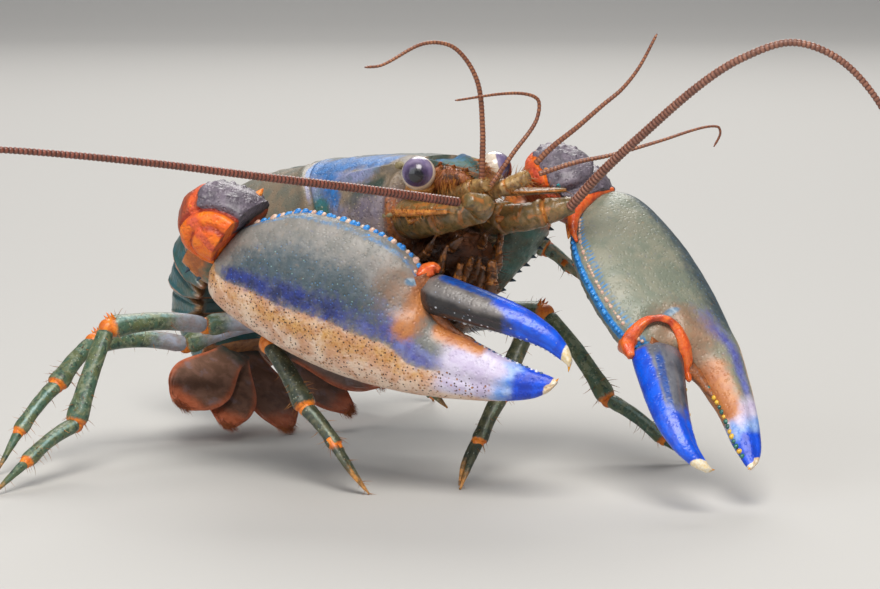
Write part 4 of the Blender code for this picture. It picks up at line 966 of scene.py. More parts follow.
def carapace_piece():
    """The shell in front of the neck groove and behind it, with its ridges, grooves and grain."""
    count = 168
    a = angles(count)
    sx, sz = wheel(count, SHELL_POWER)
    rows, places = [], []
    for start, end, steps, head in ((8.5, 29.0, 96, True), (29.0, CARAPACE_LENGTH, 84, False)):
        for k in range(0 if head else 1, steps + 1):
            t = k / steps
            b = start + (end - start) * t
            width, top, bottom = (along(SHELL, b, c) for c in (1, 2, 3))
            mid = bottom + (top - bottom) * WIDEST_SHARE
            x, z = sx * width, mid + sz * (top - mid)
            bow = GROOVE_BACK - GROOVE_SWEEP * (x / 9.5) ** 2 - 0.12 * np.maximum(0, -z)
            front = front_line(z)
            place = front * (1 - t) + bow * t if head else bow * (1 - t) + CARAPACE_LENGTH * t
            rows.append(np.stack([x, place, z], -1))
            places.append(place - bow)
    local, off = np.array(rows), np.array(places)
    x, place, z = local[..., 0], local[..., 1], local[..., 2]
    turn = np.degrees(np.minimum(a, 2 * np.pi - a))[None] * np.ones_like(x)
    frontness = place - front_line(z)
    amount = -0.55 * hill(off, 0, 0.55) + 0.16 * hill(off, -1.3, 0.8) + 0.16 * hill(off, 1.3, 0.9)
    ridge = hill(turn, 38 + (place - 9) * 0.9, 4.0)
    amount += 0.6 * ridge * step(8.4, 10.5, place) * (1 - step(15.5, 19, place))
    amount += 0.3 * hill(frontness, 0.25, 0.45) * step(40, 60, turn) * (1 - step(150, 170, turn))
    amount -= 0.22 * hill(frontness, 1.1, 0.35) * step(40, 60, turn) * (1 - step(150, 170, turn))
    amount -= 0.3 * hill(np.abs(x), 1.7 + 0.12 * np.abs(place - 39), 0.4) * (off > 0.8) * (turn < 60)
    amount -= 0.3 * hill(off, 9.0 + 3.0 * np.sin(np.radians(turn)), 0.5) * 0.3
    flank = step(50, 75, turn) * (1 - step(150, 165, turn))
    amount += grains(local, 1.0, 0.55, 8) * (0.05 + 0.12 * flank * (off < 0))
    amount += grains(local, 0.7, 0.5, 18) * 0.06 * flank
    amount += uneven(local, 3.5, 2, 0.25) + uneven(local, 0.9, 4, 0.06)
    amount += 0.25 * hill(place, CARAPACE_LENGTH - 0.7, 0.45) - 0.2 * hill(place, CARAPACE_LENGTH - 1.7, 0.4)
    rings = raised(bodies(x, place, z), amount)
    wander = (noise(local, 3.0, 6) - 0.5)
    lean = turn + wander * 24
    behind_eye = step(10.5, 13.5, place) * (off < 0.6)
    before_groove = hill(off + wander * 2.5, -5.0, 2.0) * step(25, 40, turn) * (1 - step(60, 85, turn))
    blue = np.maximum(hill(lean, 24, 16) * behind_eye, 0.85 * before_groove)
    values = dict(
        blue=blue,
        teal=np.maximum(hill(off + wander * 2, -2.2, 1.5) * step(35, 50, turn) * (1 - step(85, 105, turn)),
                        hill(lean, 46, 5) * step(11, 13, place) * (1 - step(17, 21, place))),
        rear=step(0.2, 1.2, off) * (0.75 + 0.5 * wander),
        dark=step(0.0, 0.5, 1 - turn / 14) * 0.7 + 0.5 * step(0.2, 1.2, off) * hill(place, 44, 2.5)
        + 0.9 * hill(lean, 62, 12) * step(9.5, 10.5, place) * (1 - step(12.5, 17, place)),
        # painted highlight: the lilac strip below the blue band, on the ridge behind the eye
        lilac=0.8 * hill(lean, 44, 11) * behind_eye,
        violet=(off < 0) * flank * (0.55 + wander),
        # painted highlight: the pale line on the rear edge of the neck groove, and the thin line along the
        # ridge behind the eye
        pale=np.maximum(hill(off, 0.1, 0.24) * 0.7 * step(20, 40, turn) * (1 - step(100, 140, turn)),
                        0.55 * hill(lean, 40, 3) * step(9, 11, place) * (1 - step(18, 21, place))),
        orange=hill(off, 0.1, 0.7) * step(90, 120, turn)
        + 0.8 * hill(frontness, 0.3, 0.6) * step(60, 90, turn),
        speckle=flank * (off < 0) * 0.9 + 0.4 * flank,
    )
    skin("carapace_skin", (rings, values), paints["shell"], ["head", "thorax"])


def rostrum_piece():
    """The beak with its raised rims, and the spines on it and on the front of the head."""
    stations = np.linspace(0.45, 17.0, 110)
    x, z = wheel(60)
    upper = z > 0
    rows, values = [], {"blue": [], "dark": [], "teal": [], "orange": []}
    for b in stations:
        width = along(ROSTRUM, b, 1) * (1 - 0.35 * ease((b - 11.0) / 5.0))
        edge = along(ROSTRUM, b, 2) - 3.2 * ease((b - 8.0) / 4.5)
        thick = min(1.3, 0.6 + 0.3 * width)
        dip = min(0.55, 0.35 * width)
        over = edge - dip + dip * hill(np.abs(x), 0.86, 0.2) + 0.1 * hill(x, 0, 0.2)
        over = over - 0.35 * (np.abs(x) > 0.97)
        under = edge - 0.5 - (thick - 0.4) * np.sqrt(np.clip(1 - x**2, 0, 1))
        rows.append(bodies(width * x, b, np.where(upper, over, under)))
        rim = hill(np.abs(x), 0.9, 0.16) * upper
        values["orange"].append(rim * 0.5 * (b < 4))
        values["dark"].append(0.95 - 0.4 * rim * ease((b - 5) / 3))
        values["teal"].append(0.8 * (1 - rim) * ease((b - 2) / 4))
        values["blue"].append(np.maximum(rim * 0.7, 0.5 * upper) * ease((b - 4) / 5))
    rings = np.array(rows)
    rings = raised(rings, uneven(rings, 0.8, 3, 0.12) + grains(rings, 0.6, 0.5, 2) * 0.06)
    parts = [(rings, {k: np.array(v) for k, v in values.items()})]
    for side in SIDES.values():
        for b, reach in ((1.9, 1.0), (3.3, 0.85), (4.9, 0.6)):
            root = body(side * along(ROSTRUM, b, 1) * 0.88, b, along(ROSTRUM, b, 2) - 0.25)
            tip = root + FORWARD * reach + Vector((side * 0.45, 0, 0.35))
            parts.append((cone(root, tip, 0.34), {"orange": 0.8}))
        for b, x, h, reach in ((9.3, 7.0, -4.6, 2.0), (10.3, 7.5, -8.4, 1.4), (9.0, 4.9, 0.9, 1.1)):
            root = body(side * x, b + 0.5, h)
            tip = root + FORWARD * (reach + 0.5) + Vector((side * 0.5, 0, 0.1))
            parts.append((cone(root, tip, 0.62), {"pale": 0.9}))
    skin("rostrum_skin", parts, paints["beak"])


def eye_paint():
    p = Paint("eye", rough=0.22, coat=0.7, coat_rough=0.12)
    colour = p.mottled(("8a7c98", "6e6086"), 1.2)
    colour = p.rows(
        colour,
        ("iris", ("3e2c50", "332444"), 0.8, 0.5, 0.2, 0.4),
        ("ring", ("e6d8c4", "d2c0ae"), 0.6, 0.25, 0.15, 0.4),
        ("pupil", ("070509", "0d0911"), 1.0, 0.5, 0.15, 0.5),
    )
    facets = p.step(0.1, 0.5, p.cells(0.14, random=0.2))
    return p.finish(colour, [(facets, 0.012)])


def brow_piece(name, side):
    """The hairy pad under the beak's edge, between the eye and the small feelers."""
    places = ((3.3, 7.0, -0.9), (2.6, 4.6, -0.7), (1.7, 2.6, -0.8), (1.0, 1.2, -1.0))
    route = [body(side * x, b, h) for x, b, h in places]
    path = curve(route, 60)
    r = profile([(0, 0.9), (0.4, 1.25), (0.8, 0.9), (1, 0.3)], np.linspace(0, 1, 60))
    rings, _, _ = tube(path, r, r * 1.1, 40)
    rings = raised(rings, uneven(rings, 0.8, 3, 0.3))
    skin(f"brow_{name}", (rings, {"hair": 1.0}), paints["brow"])


def eye_pieces(name, side):
    """One eye looking outward and forward, its stalk and the pad before it."""
    brow_piece(name, side)
    centre = body(side * EYE_SPREAD, EYE_BACK, 0)
    axis = np.array(UPWARD * 0.55 + Vector((side * 0.75, 0, 0)) + FORWARD * 0.35)
    rings = ball(centre, axis, EYE_RADIUS, 56, -0.75, 0.998)
    normal = unit(rings - np.array(centre))
    look = unit(np.array([side * 0.68, -0.72, -0.02]))
    facing = normal @ look
    values = dict(pupil=step(0.84, 0.96, facing), iris=step(0.5, 0.92, facing),
                  ring=1 - step(0.36, 0.56, facing + 0.38 * normal[..., 2]))
    skin(f"cornea_{name}", (rings, values), paints["eye"], [f"eye_{name}"])
    root = body(side * (EYE_SPREAD - 1.9), front_line(0) + 0.6, -3.0)
    seat = centre - Vector(unit(axis)) * EYE_RADIUS * 0.35
    path = curve([root, root.lerp(seat, 0.5) - UPWARD * 0.5, seat], 36)
    s = np.linspace(0, 1, 36)
    r = 1.0 + 0.95 * s + 0.12 * hill(s, 0.45, 0.08) - 0.15 * hill(s, 0.62, 0.06) - 0.5 * step(0.9, 1.0, s)
    rings, _, _ = tube(path, r, r, 40, (0, 0.3, 1))
    rings = raised(rings, uneven(rings, 0.7, 3, 0.12))
    skin(f"stalk_skin_{name}", (rings, {}), paints["stalk"], [f"eyestalk_{name}"])


# Feelers
def jointed(route, radii, count=220, around=40, up=UPWARD, flat=1.0, collars=()):
    """A stem of swollen joints: radii are (share, radius) rows, collars the shares of its joints."""
    path = curve(route, count)
    s = np.linspace(0, 1, count)
    r = profile(radii, s)
    for c in collars:
        r = r * (1 - 0.2 * hill(s, c, 0.012) + 0.08 * hill(s, c - 0.035, 0.022))
    rings, share, _ = tube(path, r, r * flat, around, up)
    rings = raised(rings, uneven(rings, 1.2, 5, 0.34) + grains(rings, 0.7, 0.4, 3) * 0.08)
    joint = np.zeros_like(share)
    for c in collars:
        joint = np.maximum(joint, 0.8 * hill(share, c + 0.004, 0.02))
    return rings, dict(joint=joint, along=share)


def stem_paint(name, pair, third):
    p = Paint(name, rough=0.35, coat=0.35, coat_rough=0.2)
    colour = p.mottled(pair, 0.9)
    colour = p.mix(p.step(0.52, 0.66, p.noise(1.8, 4.0, 0.6, 0.8)), colour, third)
    colour = p.patches(colour, "2f2418", 0.58, 0.68, 0.7, 1.1, 5.0, 0.7, 1.0)
    colour = p.layer(colour, "joint", ("d08a3c", "b1642c"), 0.6, 0.35, 0.8, 0.7)
    return p.finish(colour, [(p.noise(0.9, 4.0), 0.16), (p.cells(0.45), 0.05), (p.noise(0.2, 2.0), 0.03)])


def whip_paint(name, pair, dark):
    p = Paint(name, rough=0.42, coat=0.2)
    colour = p.mottled(pair, 1.5)
    colour = p.layer(colour, "ring", dark, 0.5, 0.3, 0.1, 0.3)
    return p.finish(colour, [(p.noise(0.2, 2.0), 0.02)])


def whip(route, radius, pitch, depth):
    """A whip of small rings, wider at the foot of each, from its route and two end radii."""
    points = [Vector(q) for q in route]
    length = sum((b - a).length for a, b in zip(points, points[1:]))
    rings_count = int(length / pitch)
    count = rings_count * 4 + 1
    path = curve(route, count)
    s = np.linspace(0, 1, count)
    phase = np.arange(count) % 4
    r = radius[0] + (radius[1] - radius[0]) * s
    r = r * np.array([1 - depth, 1.0, 1 + depth * 0.4, 1 - depth * 0.2])[phase]
    r[-3:] *= 0.6
    rings, share, _ = tube(path, r, r, 12, (0.05, 0.3, 1))
    return rings, dict(ring=np.array([1.0, 0.1, 0.0, 0.45])[phase][:, None] * np.ones(12), along=share)


# Routes of the large and small feelers' stems on the body, and their radii by share of the way
STEMS = {
    "right": ((-4.9, 9.2, -5.0), (-4.6, 4.6, -5.2), (-3.6, 0.6, -4.9), (-2.4, -2.6, -4.1),
              (-4.9, -3.4, -3.1)),
    "left": ((4.9, 9.2, -5.0), (4.9, 4.0, -5.6), (5.4, 0.8, -5.7), (7.0, -1.6, -5.2), (9.3, -3.9, -4.6)),
}
STEM_RADII = ((0, 2.2), (0.2, 2.15), (0.42, 1.75), (0.62, 1.6), (0.85, 1.35), (1.0, 0.9))
SMALL_STEMS = {
    "right": ((-1.5, 9.0, -2.6), (-1.5, 4.0, -2.4), (-0.9, 0.6, -1.9), (-0.7, -1.3, -1.5)),
    "left": ((1.5, 9.0, -2.8), (1.5, 4.0, -2.9), (1.6, 0.2, -2.4), (3.4, -3.6, -1.0)),
}
SMALL_STEM_RADII = ((0, 1.15), (0.35, 1.2), (0.6, 1.0), (1.0, 0.8))
SMALL_RADIUS = {"upper": (0.36, 0.16), "lower": (0.3, 0.13)}


def feeler_pieces():
    """Both pairs of feelers, each a jointed stem with ringed whips, and the scales beside them."""
    for name, side in SIDES.items():
        stem = jointed([body(*q) for q in STEMS[name]], STEM_RADII, collars=(0.44, 0.78))
        parts = [stem]
        for share, across, reach in ((0.27, 1, 1.5), (0.27, -1, 1.2), (0.47, 1, 1.0)):
            k = int(share * 219)
            at = stem[0][k, 10 if across * side > 0 else 30]
            way = np.array(FORWARD) * reach + np.array([across * side * 0.5, 0, 0.2])
            parts.append((cone(at - way * 0.3, at + way, 0.45), {"joint": 1.0}))
        skin(f"antenna_stem_{name}", parts, paints["stem"], [f"antenna_base_{name}"])
        long_whip = whip(WHIPS[name], WHIP_RADIUS[name], 0.5, 0.16)
        skin(f"whip_{name}", long_whip, paints[f"whip_{name}"],
             [f"antenna_{name}_{k}" for k in (1, 2, 3)])
        stem = jointed([body(*q) for q in SMALL_STEMS[name]], SMALL_STEM_RADII, 120, 28, collars=(0.45, 0.8))
        skin(f"antennule_stem_{name}", stem, paints["stem_yellow"], [f"antennule_{name}"])
        for part, radius in SMALL_RADIUS.items():
            short_whip = whip(SMALL_WHIPS[f"{name}_{part}"], radius, 0.42, 0.13)
            skin(f"small_whip_{name}_{part}", short_whip, paints["whip_small"],
                 [f"antennule_{name}_{part}"])
        scale_piece(name, side)


def scale_piece(name, side):
    """The flat pointed scale beside a large feeler's stem."""
    shift, height = SCALE_PLACE[name]
    rows, edge = [], []
    x, z = wheel(36)
    rim = 1 + 0.8 * step(0.5, 1.0, x)
    rib = 0.12 * hill(x, 0.55, 0.12) - 0.08 * hill(x, 0.3, 0.12)
    for b in np.linspace(8.6, -3.2, 70):
        inner, outer, thick = (along(SCALE[::-1], b, c) for c in (1, 2, 3))
        mid, half = (inner + outer) / 2 + shift, max((outer - inner) / 2, 0.08)
        rows.append(bodies(side * (mid + half * x), b, height + z * thick * rim * 0.85 + rib * (z > 0)))
        edge.append(hill(x, 1.0, 0.35) + 0.9 * hill(x, -1.0, 0.12))
    rings = np.array(rows)
    rings = raised(rings, uneven(rings, 0.9, 4, 0.1))
    skin(f"scale_skin_{name}", (rings, {"joint": np.array(edge)}), paints["stem"],
         [f"antenna_scale_{name}"])


# Wrists and arms
def wrist_paint():
    p = Paint("wrist", rough=0.45, coat=0.14, coat_rough=0.3)
    colour = p.mottled(("b0502a", "93402a"), 1.4)
    colour = p.rows(
        colour,
        ("bulge", ("f07a0a", "e25a06"), 1.6, 0.3, 0.2),
        ("red", ("8e2410", "a53412"), 0.9, 0.3, 0.3, 0.5),
        ("rim", ("e0602c", "c4482c"), 0.9, 0.3, 0.4, 0.5),
        ("plate", ("716672", "564e58"), 1.3, 0.14, 0.26, 0.7),
        ("plate", "95888e", 0.5, 0.2, 0.5),
        ("plate", "3c3440", 0.55, 0.24, 0.8),
        ("shade", ("3f4344", "4b4240"), 1.2, 0.35, 0.4, 0.6),
        ("edge", ("2c2a30", "3b3a44"), 0.6, 0.2, 0.4, 0.4),
        ("spot", ("22a8a8", "2a8898"), 0.6, 0.2, 0.2, 0.4),
        ("knob", ("f0802c", "eaa250"), 0.7, 0.2, 0.3, 0.4),
    )
    pits = p.step(0.1, 0.5, p.cells(0.5))
    return p.finish(colour, [(p.noise(1.0, 3.0), 0.1), (pits, 0.08), (p.noise(0.22, 2.0), 0.04)])


# Directions from each wrist's centre: its granular plate, its smooth bulge, and where the plate ends
WRIST_LOOKS = {
    "right": ((-0.04, -0.80, 0.58), (-0.74, -0.5, -0.45), 0.46),
    "left": ((0.35, -0.62, 0.70), (-0.45, -0.3, 0.84), 0.12),
}
# Each wrist's tubercles: shares along, out to the side and up, then reach, radius and colour
WRIST_SPOTS = {
    "right": ((0.42, -0.3, 0.93, 1.1, 0.85, "knob"), (-0.56, 0.84, 0.27, 0.9, 0.45, "knob"),
              (-0.35, -0.95, 0.2, 1.2, 0.9, "knob"), (0.6, -0.2, -0.9, 1.3, 0.8, "knob")),
    "left": ((0.45, 0.75, 0.5, 1.5, 0.95, "knob"), (-0.35, -0.95, 0.2, 1.2, 0.9, "knob"),
             (0.35, 0.55, -0.75, 1.5, 0.8, "spot"), (0.6, -0.2, -0.9, 1.3, 0.8, "knob"),
             (0.07, -0.99, 0.03, 1.7, 0.65, "spot"), (0.88, 0.06, 0.45, 1.1, 0.6, "knob"),
             (0.3, 0.2, 0.95, 0.7, 0.5, "spot")),
}


def wrist_piece(name):
    """A wrist block: granular plate above, smooth bulge with creases, tubercles, cut flat at the palm."""
    centre, way, up, length, width, thick = WRISTS[name]
    centre, way, up = Vector(centre), Vector(way).normalized(), Vector(up)
    side = way.cross(up).normalized()
    up = side.cross(way)
    f = ClawFrame(name)
    s = np.sin(np.linspace(-np.pi / 2 * 0.985, np.pi / 2 * 0.985, 110))
    swell = np.sqrt(np.maximum(0.004, 1 - np.abs(s) ** 2.6))
    x, z = wheel(130, OUTER_ROUND)
    z = np.where(z < 0, z * 0.9, z)
    path = np.array(centre) + np.array(way)[None] * (length * s)[:, None]
    rings = (path[:, None] + np.array(side) * (width * swell[:, None] * x)[..., None]
             + np.array(up) * (thick * swell[:, None] * z)[..., None])
    facing = unit(rings - np.array(centre))
    plate_way, bulge_way, limit = WRIST_LOOKS[name]
    plate_way, bulge_way = unit(np.array(plate_way)), unit(np.array(bulge_way))
    wander = uneven(rings, 1.6, 8, 0.2)
    on_plate, on_bulge = facing @ plate_way + wander, facing @ bulge_way
    plate = step(limit, limit + 0.07, on_plate)
    if name == "right":
        plate = plate * (1 - step(0.5, 0.6, on_bulge + wander * 0.5))
    bulge = step(0.58, 0.7, on_bulge)
    lumps = plate * (0.22 + grains(rings, 0.9, 0.8, 6) * 0.26) + uneven(rings, 2.0, 3, 0.4)
    crease = hill(on_bulge, 0.58, 0.05) + 0.7 * hill(on_bulge, 0.86, 0.03) * (name == "right")
    lumps = lumps + bulge * 0.5 - 0.5 * crease
    lumps = lumps + (1 - plate) * uneven(rings, 0.8, 13, 0.12)
    ahead = step(-0.1, 0.3, facing @ unit(np.array(f.along)))
    edge = hill(on_plate, limit + 0.03, 0.05) * ahead
    rings = raised(rings, lumps)
    # the block ends on the palm's base plane
    normal, base = np.array(f.base_normal), np.array(f.wrist - f.base_normal * 0.1)
    over = np.maximum((rings - base) @ normal, 0)
    rings = rings - normal * over[..., None]
    values = dict(
        plate=plate, bulge=bulge, edge=edge * 0.9 * (1 - bulge), rim=hill(on_plate, limit - 0.14, 0.12),
        red=hill(on_bulge, 0.57, 0.06) + 0.75 * hill(on_bulge, 0.88, 0.04) * (name == "right"),
        shade=plate * step(0.2, -0.5, facing[..., 2] + wander) * (name == "left"),
    )
    parts = [(rings, values)]
    for ahead_, out, high_, reach, radius, kind in WRIST_SPOTS[name]:
        flank = -SIDES[name] * out
        offset = way * (length * ahead_) + side * (width * flank) + up * (thick * high_)
        root = centre + offset * 0.8
        tip_way = (way * (ahead_ * 0.6) + side * flank + up * high_).normalized()
        tip = root + tip_way * (reach + radius)
        parts.append((cone(root, tip, radius * 1.05, 18, 14), {kind: 1.0}))
    skin(f"wrist_skin_{name}", parts, paints["wrist"], [f"wrist_{name}"])


# Half widths along an arm, evenly spaced
ARM_WIDTHS = (2.6, 2.5, 2.3, 2.1, 2.4, 2.9, 3.2, 3.5, 3.6, 3.6, 3.3, 2.6)


def arm_paint():
    p = Paint("arm", rough=0.4, coat=0.3, coat_rough=0.22)
    colour = p.mottled(("4a4c34", "35402f"), 1.6)
    colour = p.rows(
        colour,
        ("teal", ("3a6a62", "4c6452"), 1.5, 0.35, 0.4),
        (None, "8fa08a", 0.6, 0.18, 0.45),
    )
    colour = p.patches(colour, "8a5a2c", 0.56, 0.7, 0.8, 1.5, 4.0)
    colour = p.rows(
        colour,
        ("orange", ("c9701f", "a05520"), 1.0, 0.35, 0.4),
        ("tip", ("2f4a5c", "20303c"), 0.5, 0.2, 0.2, 0.4),
    )
    return p.finish(colour, [(p.noise(1.6, 3.0), 0.1), (p.cells(0.5), 0.05), (p.noise(0.22, 2.0), 0.03)])


def arm_piece(name):
    """The two lengths of a claw's arm, with two rows of dark spines below."""
    root, knee, elbow = (Vector(q) for q in ARMS[name])
    path = curve([root, knee, knee.lerp(elbow, 0.5), elbow], 110)
    w = profile([(k / 11, q) for k, q in enumerate(ARM_WIDTHS)], np.linspace(0, 1, 110))
    up = Vector((0, -0.4, 1)).normalized()
    rings, share, angle = tube(path, w * 0.8, w, 72, up, 2.2)
    low_side = hill(angle, 0.5, 0.13)
    rings = raised(rings, uneven(rings, 1.8, 3, 0.25) + grains(rings, 0.9, 0.5, 4) * 0.1
                   - 0.12 * low_side - 0.35 * hill(share, 0.3, 0.02))
    streak = hill(angle, 0.62 + 0.14 * (1 - share), 0.045) * step(0.35, 0.5, share) * 0.9 * (name == "left")
    orange = np.maximum(hill(share, 0.96, 0.1), hill(share, 0.28, 0.07)) + 0.4 * low_side * share + streak
    values = dict(teal=step(0.3, 0.55, share) * (0.1 + 0.9 * noise(rings, 2.2, 9)), orange=orange)
    parts = [(rings, values)]
    for row in (-1, 1):
        for k, s in enumerate(np.linspace(0.36, 0.95, 9)):
            i = int(s * 109)
            j = int((0.5 + row * 0.12) * 72) % 72
            at, out = rings[i, j], unit(rings[i, j] - path[i])
            ahead = unit(path[min(i + 2, 109)] - path[i - 2])
            tip = at + out * (0.42 + 0.25 * math.sin(k * 1.7) ** 2) + ahead * 0.2
            parts.append((cone(at - out * 0.3, tip, 0.36, 12, 9), {"tip": 1.0}))
    skin(f"arm_skin_{name}", parts, paints["arm"], [f"arm_{name}"])


paints.update({
    "shell": shell_paint("shell", 0.46, 0.12),
    "beak": shell_paint("beak", 0.72, 0.0),
    "eye": eye_paint(),
    "brow": plain_paint("brow", ("a8643c", "7c4426"), 0.5, 0.7, 0.12, 0.1, third="4a2a18"),
    "stalk": plain_paint("stalk", ("d8a868", "b8742c"), 0.35, 0.8, 0.06, third="8a5a32"),
    "stem": stem_paint("stem", ("8c6c40", "65552f"), "a8682e"),
    "stem_yellow": stem_paint("stem_yellow", ("b08d58", "866640"), "c9a468"),
    "whip_right": whip_paint("whip_near", ("8e5040", "73402f"), ("3d1c14", "4c261b")),
    "whip_left": whip_paint("whip_far", ("9c6a55", "7f5443"), ("5a3226", "6b4032")),
    "whip_small": whip_paint("whip_small", ("a06846", "7f4b32"), ("5a2c1c", "68382a")),
    "wrist": wrist_paint(),
    "arm": arm_paint(),
})
carapace_piece()
rostrum_piece()
for side_name, side_sign in SIDES.items():
    eye_pieces(side_name, side_sign)
    wrist_piece(side_name)
    arm_piece(side_name)
feeler_pieces()


# Walking legs
def leg_paint(name, pair, stripe, blotch):
    p = Paint(name, rough=0.45, coat=0.14, coat_rough=0.3)
    colour = p.mottled(pair, 1.2)
    colour = p.patches(colour, blotch, 0.5, 0.6, 0.8, 1.0, 5.0, 0.65, 0.6)
    colour = p.patches(colour, "22302a", 0.56, 0.64, 0.75, 0.7, 4.0)
    colour = p.rows(
        colour,
        ("stripe", stripe, 1.0, 0.35, 0.6, 0.5),
        (None, "b4bcaa", 0.5, 0.18, 0.5),
        (None, "1c2a24", 0.65, 0.22, 0.55),
        ("root", ("a3a8b8", "9a8f92"), 1.4, 0.4, 0.4),
        ("orange", ("e8841c", "cc6418"), 0.8, 0.25, 0.35, 0.4),
        ("tip", ("7a5a32", "c98b45"), 0.6, 0.35, 0.3, 0.4),
    )
    return p.finish(colour, [(p.noise(1.2, 3.0), 0.06), (p.cells(0.42), 0.04), (p.noise(0.22, 2.0), 0.025)])


# For each length of a leg: half widths at its start and end, and how much its middle is drawn in
LEG_SEGMENTS = (
    (1.55, 1.4, 0.0),
    (1.3, 1.5, 0.06),
    (1.05, 1.3, 0.04),
    (1.1, 0.92, 0.06),
    (0.7, 0.12, 0.0),
)
LEG_FLAT = 0.82
# Painted shade and painted light: right_2 and left_2 take a darker copy of the leg paint, left_1 a lighter
# one
LEG_LOOKS = {"right_2": "leg_painted_shade", "left_1": "leg_painted_light", "left_2": "leg_painted_shade"}
LEG_UP = (0.05, 0.1, 1.0)


def leg_length(a, b, start, end, waist, kind, rows=34, around=26):
    """One length of a leg: narrow at its root, swollen before its far joint, fluted along its sides."""
    s = np.linspace(0, 1, rows)
    r = start + (end - start) * s - waist * start * np.sin(np.pi * s)
    r = r * (1 - 0.42 * hill(s, 0.0, 0.07)) * (1 + 0.12 * hill(s, 0.9, 0.09) * (end > 0.3))
    if end > 0.3:
        r = r * (1 - 0.3 * hill(s, 1.0, 0.025))
    bow = np.sin(np.pi * s)[:, None] * np.array([0, 0, 0.05 * np.linalg.norm(b - a)])
    path = a + (b - a) * s[:, None] + bow * (kind != 4)
    rings, share, angle = tube(path, r, r * LEG_FLAT, around, LEG_UP, 2.2)
    flute = -0.07 * (hill(angle, 0.2, 0.03) + hill(angle, 0.8, 0.03)) * step(0.1, 0.3, share)
    rings = raised(rings, flute * (kind in (1, 3)) + uneven(rings, 0.9, 7, 0.1))
    near = np.maximum(hill(share, 0.0, 0.055), hill(share, 1.0, 0.045) * (end > 0.3))
    values = dict(
        orange=near * (0.95 if kind else 0.5),
        stripe=np.maximum(hill(angle, 0.14, 0.05), hill(angle, 0.86, 0.05)) * 0.75 * (kind in (1, 3)),
        root=(0.85 * (1 - step(0.6, 1.0, share)), 0.75 * (1 - step(0.2, 0.6, share)), 0, 0, 0)[kind],
        tip=step(0.45, 0.95, share) if kind == 4 else 0.0,
        hair=(0.2 + 0.8 * hill(share, 0.95, 0.3)) * (0.15, 0.2, 0.5, 0.8, 0.7)[kind],
    )
    rings[..., 2] = np.maximum(rings[..., 2], 0.0)
    return rings, values


def leg_piece(name, joints):
    """A leg of five lengths with a ball in each joint, knee spines and, on four legs, a small pincer."""
    pts = [np.array(q, float) for q in joints]
    pts[5] = pts[5] + np.array([0, 0, 0.08]) * (pts[5][2] == 0)
    parts = []
    for kind, (start, end, waist) in enumerate(LEG_SEGMENTS):
        a, b = pts[kind], pts[kind + 1]
        way = unit(b - a)
        parts.append(leg_length(a - way * 0.35, b, start, end, waist, kind))
        if kind:
            radius = LEG_SEGMENTS[kind - 1][1] * 0.74
            parts.append((ball(a, way, radius, 20), {"orange": 1.0}))
    knee, way = pts[2], unit(pts[2] - pts[1])
    side = unit(np.cross(way, np.array(LEG_UP)))
    top = np.cross(side, way)
    for turn in (-0.9, -0.3, 0.35, 0.9):
        out = unit(top + side * turn)
        at = knee - way * 0.7 + out * 0.95
        parts.append((cone(at, at + out * 1.0 + way * 0.6, 0.3, 9, 7), {"orange": 0.9}))
    if name in PINCER_LEGS:
        way = unit(pts[5] - pts[4])
        side = np.array(Vector(way).cross(Vector(LEG_UP)).normalized())
        route = [pts[4] - way * 1.2 + side * 0.4, pts[4] + (pts[5] - pts[4]) * 0.45 + side * 0.85,
                 pts[4] + (pts[5] - pts[4]) * 0.92 + side * 0.35]
        path = curve([Vector(q) for q in route], 26)
        s = np.linspace(0, 1, 26)
        rings, share, _ = tube(path, 0.46 * (1 - s**2) + 0.08, 0.4 * (1 - s**2) + 0.08, 18, LEG_UP)
        rings[..., 2] = np.maximum(rings[..., 2], 0.0)
        parts.append((rings, {"tip": step(0.3, 0.9, share), "orange": hill(share, 0.05, 0.15)}))
    paint = paints[LEG_LOOKS.get(name, "leg")]
    skin(f"leg_skin_{name}", parts, paint, [f"leg_{name}_upper", f"leg_{name}_lower"])


# Mouth
# Mouth by share of its depth: half width, top and bottom; the jaw feet's route and radii; and the start,
# middle, end and radius of each palp and jaw in layers between the jaw feet
MOUTH = ((0.0, 5.2, -6.6, -15.0), (0.5, 4.6, -6.8, -14.0), (1.0, 3.4, -7.2, -11.5))
JAW_FOOT = ((3.6, 17.5, -18.4), (3.4, 12.5, -18.2), (3.0, 7.5, -16.6), (2.6, 3.6, -13.2), (2.2, 2.4, -10.4))
JAW_RADII = ((0, 1.7), (0.3, 1.6), (0.36, 1.35), (0.5, 1.3), (0.6, 1.15), (0.8, 0.9), (1.0, 0.45))
PALPS = (
    ((1.5, 9.0, -15.2), (1.4, 4.8, -13.6), (1.0, 2.6, -11.0), 0.8),
    ((0.8, 8.5, -13.4), (0.8, 4.2, -12.0), (0.5, 2.4, -9.8), 0.7),
    ((4.3, 9.0, -13.0), (4.2, 4.6, -11.4), (3.6, 2.8, -8.2), 0.62),
    ((4.9, 9.6, -10.5), (5.0, 5.4, -9.2), (4.6, 3.4, -7.0), 0.55),
    ((2.3, 8.0, -9.2), (2.2, 4.4, -8.6), (1.6, 2.6, -7.4), 0.75),
)


